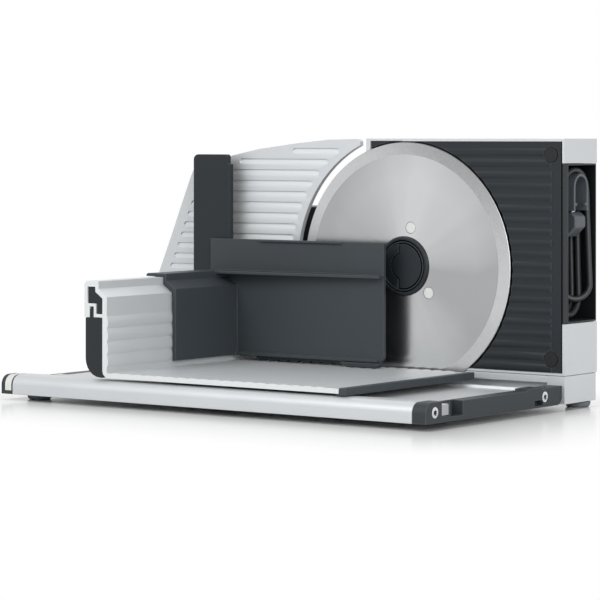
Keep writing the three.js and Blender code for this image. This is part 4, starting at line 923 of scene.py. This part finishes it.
class MakeDrive(bpy.types.Operator):
    """What drives the blade inside the housing"""

    bl_idname = "slicer.make_drive"
    bl_label = "Drive"

    def execute(self, context):
        plain("blade_spindle", "steel")
        for node in ("bearing_plate", "back_bearing", "motor_bracket", "motor"):
            plain(node, "zinc")
        self.wheel()
        dress("worm_shaft", "worm_spindle", "steel", "worm", 0.4 * MM)
        return {"FINISHED"}

    def wheel(self):
        """A toothed wheel: a disc with a ring of teeth."""
        low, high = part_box("worm_wheel")
        root = (high.x - low.x) / 2 - 1.6 * MM
        disc = turned("wheel_disc", rectangle(5.3 * MM, root, low.y, high.y), 60)
        wear(settle(disc), "nylon", "blade_unit", "worm_wheel")
        x, z = BLADE_MIDDLE.x, BLADE_MIDDLE.z
        tooth = slab("wheel_teeth", [
            (x - 1.3 * MM, z + root - 0.2 * MM), (x + 1.3 * MM, z + root - 0.2 * MM),
            (x + 0.6 * MM, z + root + 1.5 * MM), (x - 0.6 * MM, z + root + 1.5 * MM)],
            "y", low.y + 0.5 * MM, high.y - 0.5 * MM)
        wear(repeated(tooth, 40, (0, math.radians(9), 0), "nylon", BLADE_MIDDLE),
             "nylon", "blade_unit")


class MakeStopPlate(bpy.types.Operator):
    """The grooved stop plate with its carrier and guide rods"""

    bl_idname = "slicer.make_stop_plate"
    bl_label = "Stop plate"

    def execute(self, context):
        dress("stop_plate", "grooved_plate", "blasted", "stop", 0.3 * MM, 2, 40, False)
        dress("stop_plate_carrier", "plate_bracket", "abs", "stop", sizes().edge)
        plain("guide_rod_low", "steel")
        plain("guide_rod_high", "steel")
        return {"FINISHED"}


class MakeMechanism(bpy.types.Operator):
    """The case behind the stop plate, with its knob, button and latch"""

    bl_idname = "slicer.make_mechanism"
    bl_label = "Mechanism case"

    def execute(self, context):
        s = sizes()
        dress("mechanism_case", "mechanism_moulding", "dark_abs", "base", s.edge * 2, 3)
        self.screws()
        dress("switch_button", "push_button", "abs", "button", s.edge * 1.5, 3)
        dress("safety_latch", "latch_slider", "abs", "latch", s.edge)
        dress("thickness_knob", "dial_knob", "abs", "knob", s.edge, 2)
        low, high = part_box("thickness_knob")
        middle = (low + high) / 2
        mark = slab("dial_marks", rectangle(
            middle.y - 0.35 * MM, middle.y + 0.35 * MM, middle.z + 14 * MM, middle.z + 17 * MM),
            "x", low.x - 0.05 * MM, low.x + 0.4 * MM)
        wear(repeated(mark, 10, (math.radians(30), 0, 0), "inlay", middle), "inlay", "knob")
        return {"FINISHED"}

    def screws(self):
        """Four cross-head screws near the corners of the case's back."""
        low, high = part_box("mechanism_case")
        inset = 9 * MM
        x, z, back = low.x + inset, low.z + inset, high.y
        head = slab("case_screws", circle(x, z, 2.9 * MM), "y", back - MM, back + 0.5 * MM)
        soften(head, 0.35 * MM, 3)
        arm, half_width = 1.8 * MM, 0.35 * MM
        cut(head, [slab("recess", rectangle(x - u, x + u, z - v, z + v), "y",
                        back - 0.6 * MM, back + MM)
                   for u, v in ((arm, half_width), (half_width, arm))])
        row = repeated(head, 2, (high.x - low.x - 2 * inset, 0, 0), "steel")
        whole = repeated(row, 2, (0, 0, high.z - low.z - 2 * inset), "steel")
        wear(whole, "steel", "base")


class MakeCarriage(bpy.types.Operator):
    """Carriage extrusion, head core, grip, edge strip and glides"""

    bl_idname = "slicer.make_carriage"
    bl_label = "Carriage"

    def execute(self, context):
        s = sizes()
        dress("carriage_extrusion", "carriage_profile", "sawn", "carriage", 0.22 * MM, 2, 32)
        dress("carriage_head_core", "head_core_moulding", "dark_abs", "carriage", s.edge)
        dress("carriage_grip", "grip_moulding", "dark_abs", "carriage", s.edge)
        dress("carriage_edge_strip", "edge_moulding", "light_abs", "carriage", s.edge)
        for corner in CORNERS:
            dress("glide_" + corner, "glide_pad_" + corner, "nylon", "carriage", s.edge)
        return {"FINISHED"}


class MakePusher(bpy.types.Operator):
    """Food pusher: saddle, plate, ledge, shield, guard post, comb and toe"""

    bl_idname = "slicer.make_pusher"
    bl_label = "Pusher"

    def execute(self, context):
        s = sizes()
        dress("pusher_body", "pusher_moulding", "light_abs", "pusher", s.edge, 3)
        dress("pusher_guard_post", "guard_post_moulding", "dark_abs", "pusher", s.edge * 1.5, 3)
        dress("pusher_comb", "comb_moulding", "abs", "pusher", s.extruded_edge)
        dress("pusher_toe", "toe_moulding", "abs", "pusher", s.edge)
        return {"FINISHED"}


# ---- the stage


def seen_directly(tree):
    """1 for a ray from the camera, a mirror or clear material, and 0 for light's own rays."""
    path = add(tree, "ShaderNodeLightPath")
    direct = add(tree, "ShaderNodeMath", {"operation": "MAXIMUM"},
                 links={0: path.outputs["Is Camera Ray"], 1: path.outputs["Is Glossy Ray"]})
    return add(tree, "ShaderNodeMath", {"operation": "MAXIMUM"},
               links={0: direct, 1: path.outputs["Is Transmission Ray"]})


class MakeStage(bpy.types.Operator):
    """Pale floor, soft lamps and the camera"""

    bl_idname = "slicer.make_stage"
    bl_label = "Stage"

    def execute(self, context):
        scene = context.scene
        self.floor()
        self.world(scene)
        self.lamp("key_lamp", (-0.4, -1.6, 1.2), 1.0, 14)
        self.lamp("side_lamp", (2.0, -1.1, 0.8), 1.1, 26)
        self.lamp("back_lamp", (-0.3, 1.2, 1.4), 1.8, 8)
        self.camera(scene)
        scene.view_settings.view_transform = "Standard"
        return {"FINISHED"}

    def floor(self):
        """A glossy white tabletop: it mirrors and shades what stands on it, and turns
        plain white a hand's breadth away from it."""
        bm = bmesh.new()
        bmesh.ops.create_grid(bm, x_segments=1, y_segments=1, size=60)
        floor = from_bmesh("tabletop", bm)
        material, tree, shader = new_material("pale_tabletop")
        shader.inputs["Base Color"].default_value = linear("#E6E7E7")
        shader.inputs["Roughness"].default_value = 0.16
        tree.nodes.remove(tree.nodes["Material Output"])
        # how far a point lies outside the base's footprint
        low, high = at(0, 0, 0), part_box("housing_plinth")[1]
        place = add(tree, "ShaderNodeTexCoord").outputs["Object"]
        from_middle = add(tree, "ShaderNodeVectorMath", {"operation": "SUBTRACT"},
                          {1: (low + high) / 2}, {0: place})
        folded = add(tree, "ShaderNodeVectorMath", {"operation": "ABSOLUTE"},
                     links={0: from_middle})
        past = add(tree, "ShaderNodeVectorMath", {"operation": "SUBTRACT"},
                   {1: ((high.x - low.x) / 2, (high.y - low.y) / 2, 1)},
                   {0: folded})
        outside = add(tree, "ShaderNodeVectorMath", {"operation": "MAXIMUM"}, links={0: past})
        away = add(tree, "ShaderNodeVectorMath", {"operation": "LENGTH"}, links={0: outside})
        white = add(tree, "ShaderNodeMapRange", {"interpolation_type": "SMOOTHSTEP"},
                    values={"From Min": -0.045, "From Max": 0.135},
                    links={"Value": away.outputs["Value"]})
        under = add(tree, "ShaderNodeMath", {"operation": "GREATER_THAN"}, values={1: 0.0005},
                    links={0: away.outputs["Value"]})
        open_floor = add(tree, "ShaderNodeMath", {"operation": "MULTIPLY"},
                         links={0: white, 1: under})
        share = add(tree, "ShaderNodeMath", {"operation": "MULTIPLY"},
                    links={0: open_floor, 1: seen_directly(tree)})
        glow = add(tree, "ShaderNodeEmission", values={"Strength": 1.0})
        both = add(tree, "ShaderNodeMixShader", links={0: share, 1: shader, 2: glow})
        add(tree, "ShaderNodeOutputMaterial", links={"Surface": both})
        floor.data.materials.append(material)

    def world(self, scene):
        """An even white room: white where it is seen or mirrored, dimmer as light."""
        world = bpy.data.worlds.new("white_room")
        world.use_nodes = True
        tree = world.node_tree
        tree.nodes.clear()
        strength = add(tree, "ShaderNodeMapRange", values={"To Min": 0.5, "To Max": 1.0},
                       links={"Value": seen_directly(tree)})
        shown = add(tree, "ShaderNodeBackground", values={"Color": (1, 1, 1, 1)},
                    links={"Strength": strength})
        add(tree, "ShaderNodeOutputWorld", links={"Surface": shown})
        scene.world = world

    def lamp(self, name, place, size, power):
        """A square soft lamp that faces the object's middle."""
        light = bpy.data.lights.new(name, "AREA")
        light.size = size
        light.energy = power
        lamp = link(name, light)
        lamp.location = place
        middle = Vector((0, 0, 0.08))
        lamp.rotation_euler = (middle - lamp.location).to_track_quat("-Z", "Y").to_euler()

    def camera(self, scene):
        """Level, on the right of the user's side, with the view shifted down."""
        data = bpy.data.cameras.new("camera")
        data.sensor_width = 36
        data.lens = 166.09
        data.shift_y = -0.2723
        data.clip_start = 0.05
        data.clip_end = 200
        camera = link("camera", data)
        camera.location = at(1329.67, -1445.64, 185.56)
        camera.rotation_euler = (math.radians(90), 0, math.radians(36.45))
        scene.camera = camera


class SlicerPanel(bpy.types.Panel):
    """Lists the slicer's sizes, colours and pieces in the sidebar"""

    bl_label = "Food slicer"
    bl_idname = "VIEW3D_PT_slicer"
    bl_space_type = "VIEW_3D"
    bl_region_type = "UI"
    bl_category = "Slicer"

    def draw(self, context):
        layout = self.layout
        for group in (context.scene.slicer_sizes, context.scene.slicer_colours):
            box = layout.box()
            for name in group.__annotations__:
                box.prop(group, name)
        for operator in OPERATORS:
            layout.operator(operator.bl_idname)


OPERATORS = (
    MakeStage, MakeBase, MakeHousing, MakePanel, MakeCompartment, MakePlug, MakeCord,
    MakeBlade, MakeHub, MakeDrive, MakeStopPlate, MakeMechanism, MakeCarriage, MakePusher,
)
CLASSES = (SlicerSizes, SlicerColours, *OPERATORS, SlicerPanel)


def register():
    for cls in CLASSES:
        bpy.utils.register_class(cls)
    bpy.types.Scene.slicer_sizes = bpy.props.PointerProperty(type=SlicerSizes)
    bpy.types.Scene.slicer_colours = bpy.props.PointerProperty(type=SlicerColours)


def unregister():
    del bpy.types.Scene.slicer_colours
    del bpy.types.Scene.slicer_sizes
    for cls in reversed(CLASSES):
        bpy.utils.unregister_class(cls)


def main():
    register()
    for operator in OPERATORS:
        getattr(bpy.ops.slicer, operator.bl_idname.split(".")[1])()


if __name__ == "__main__":
    main()
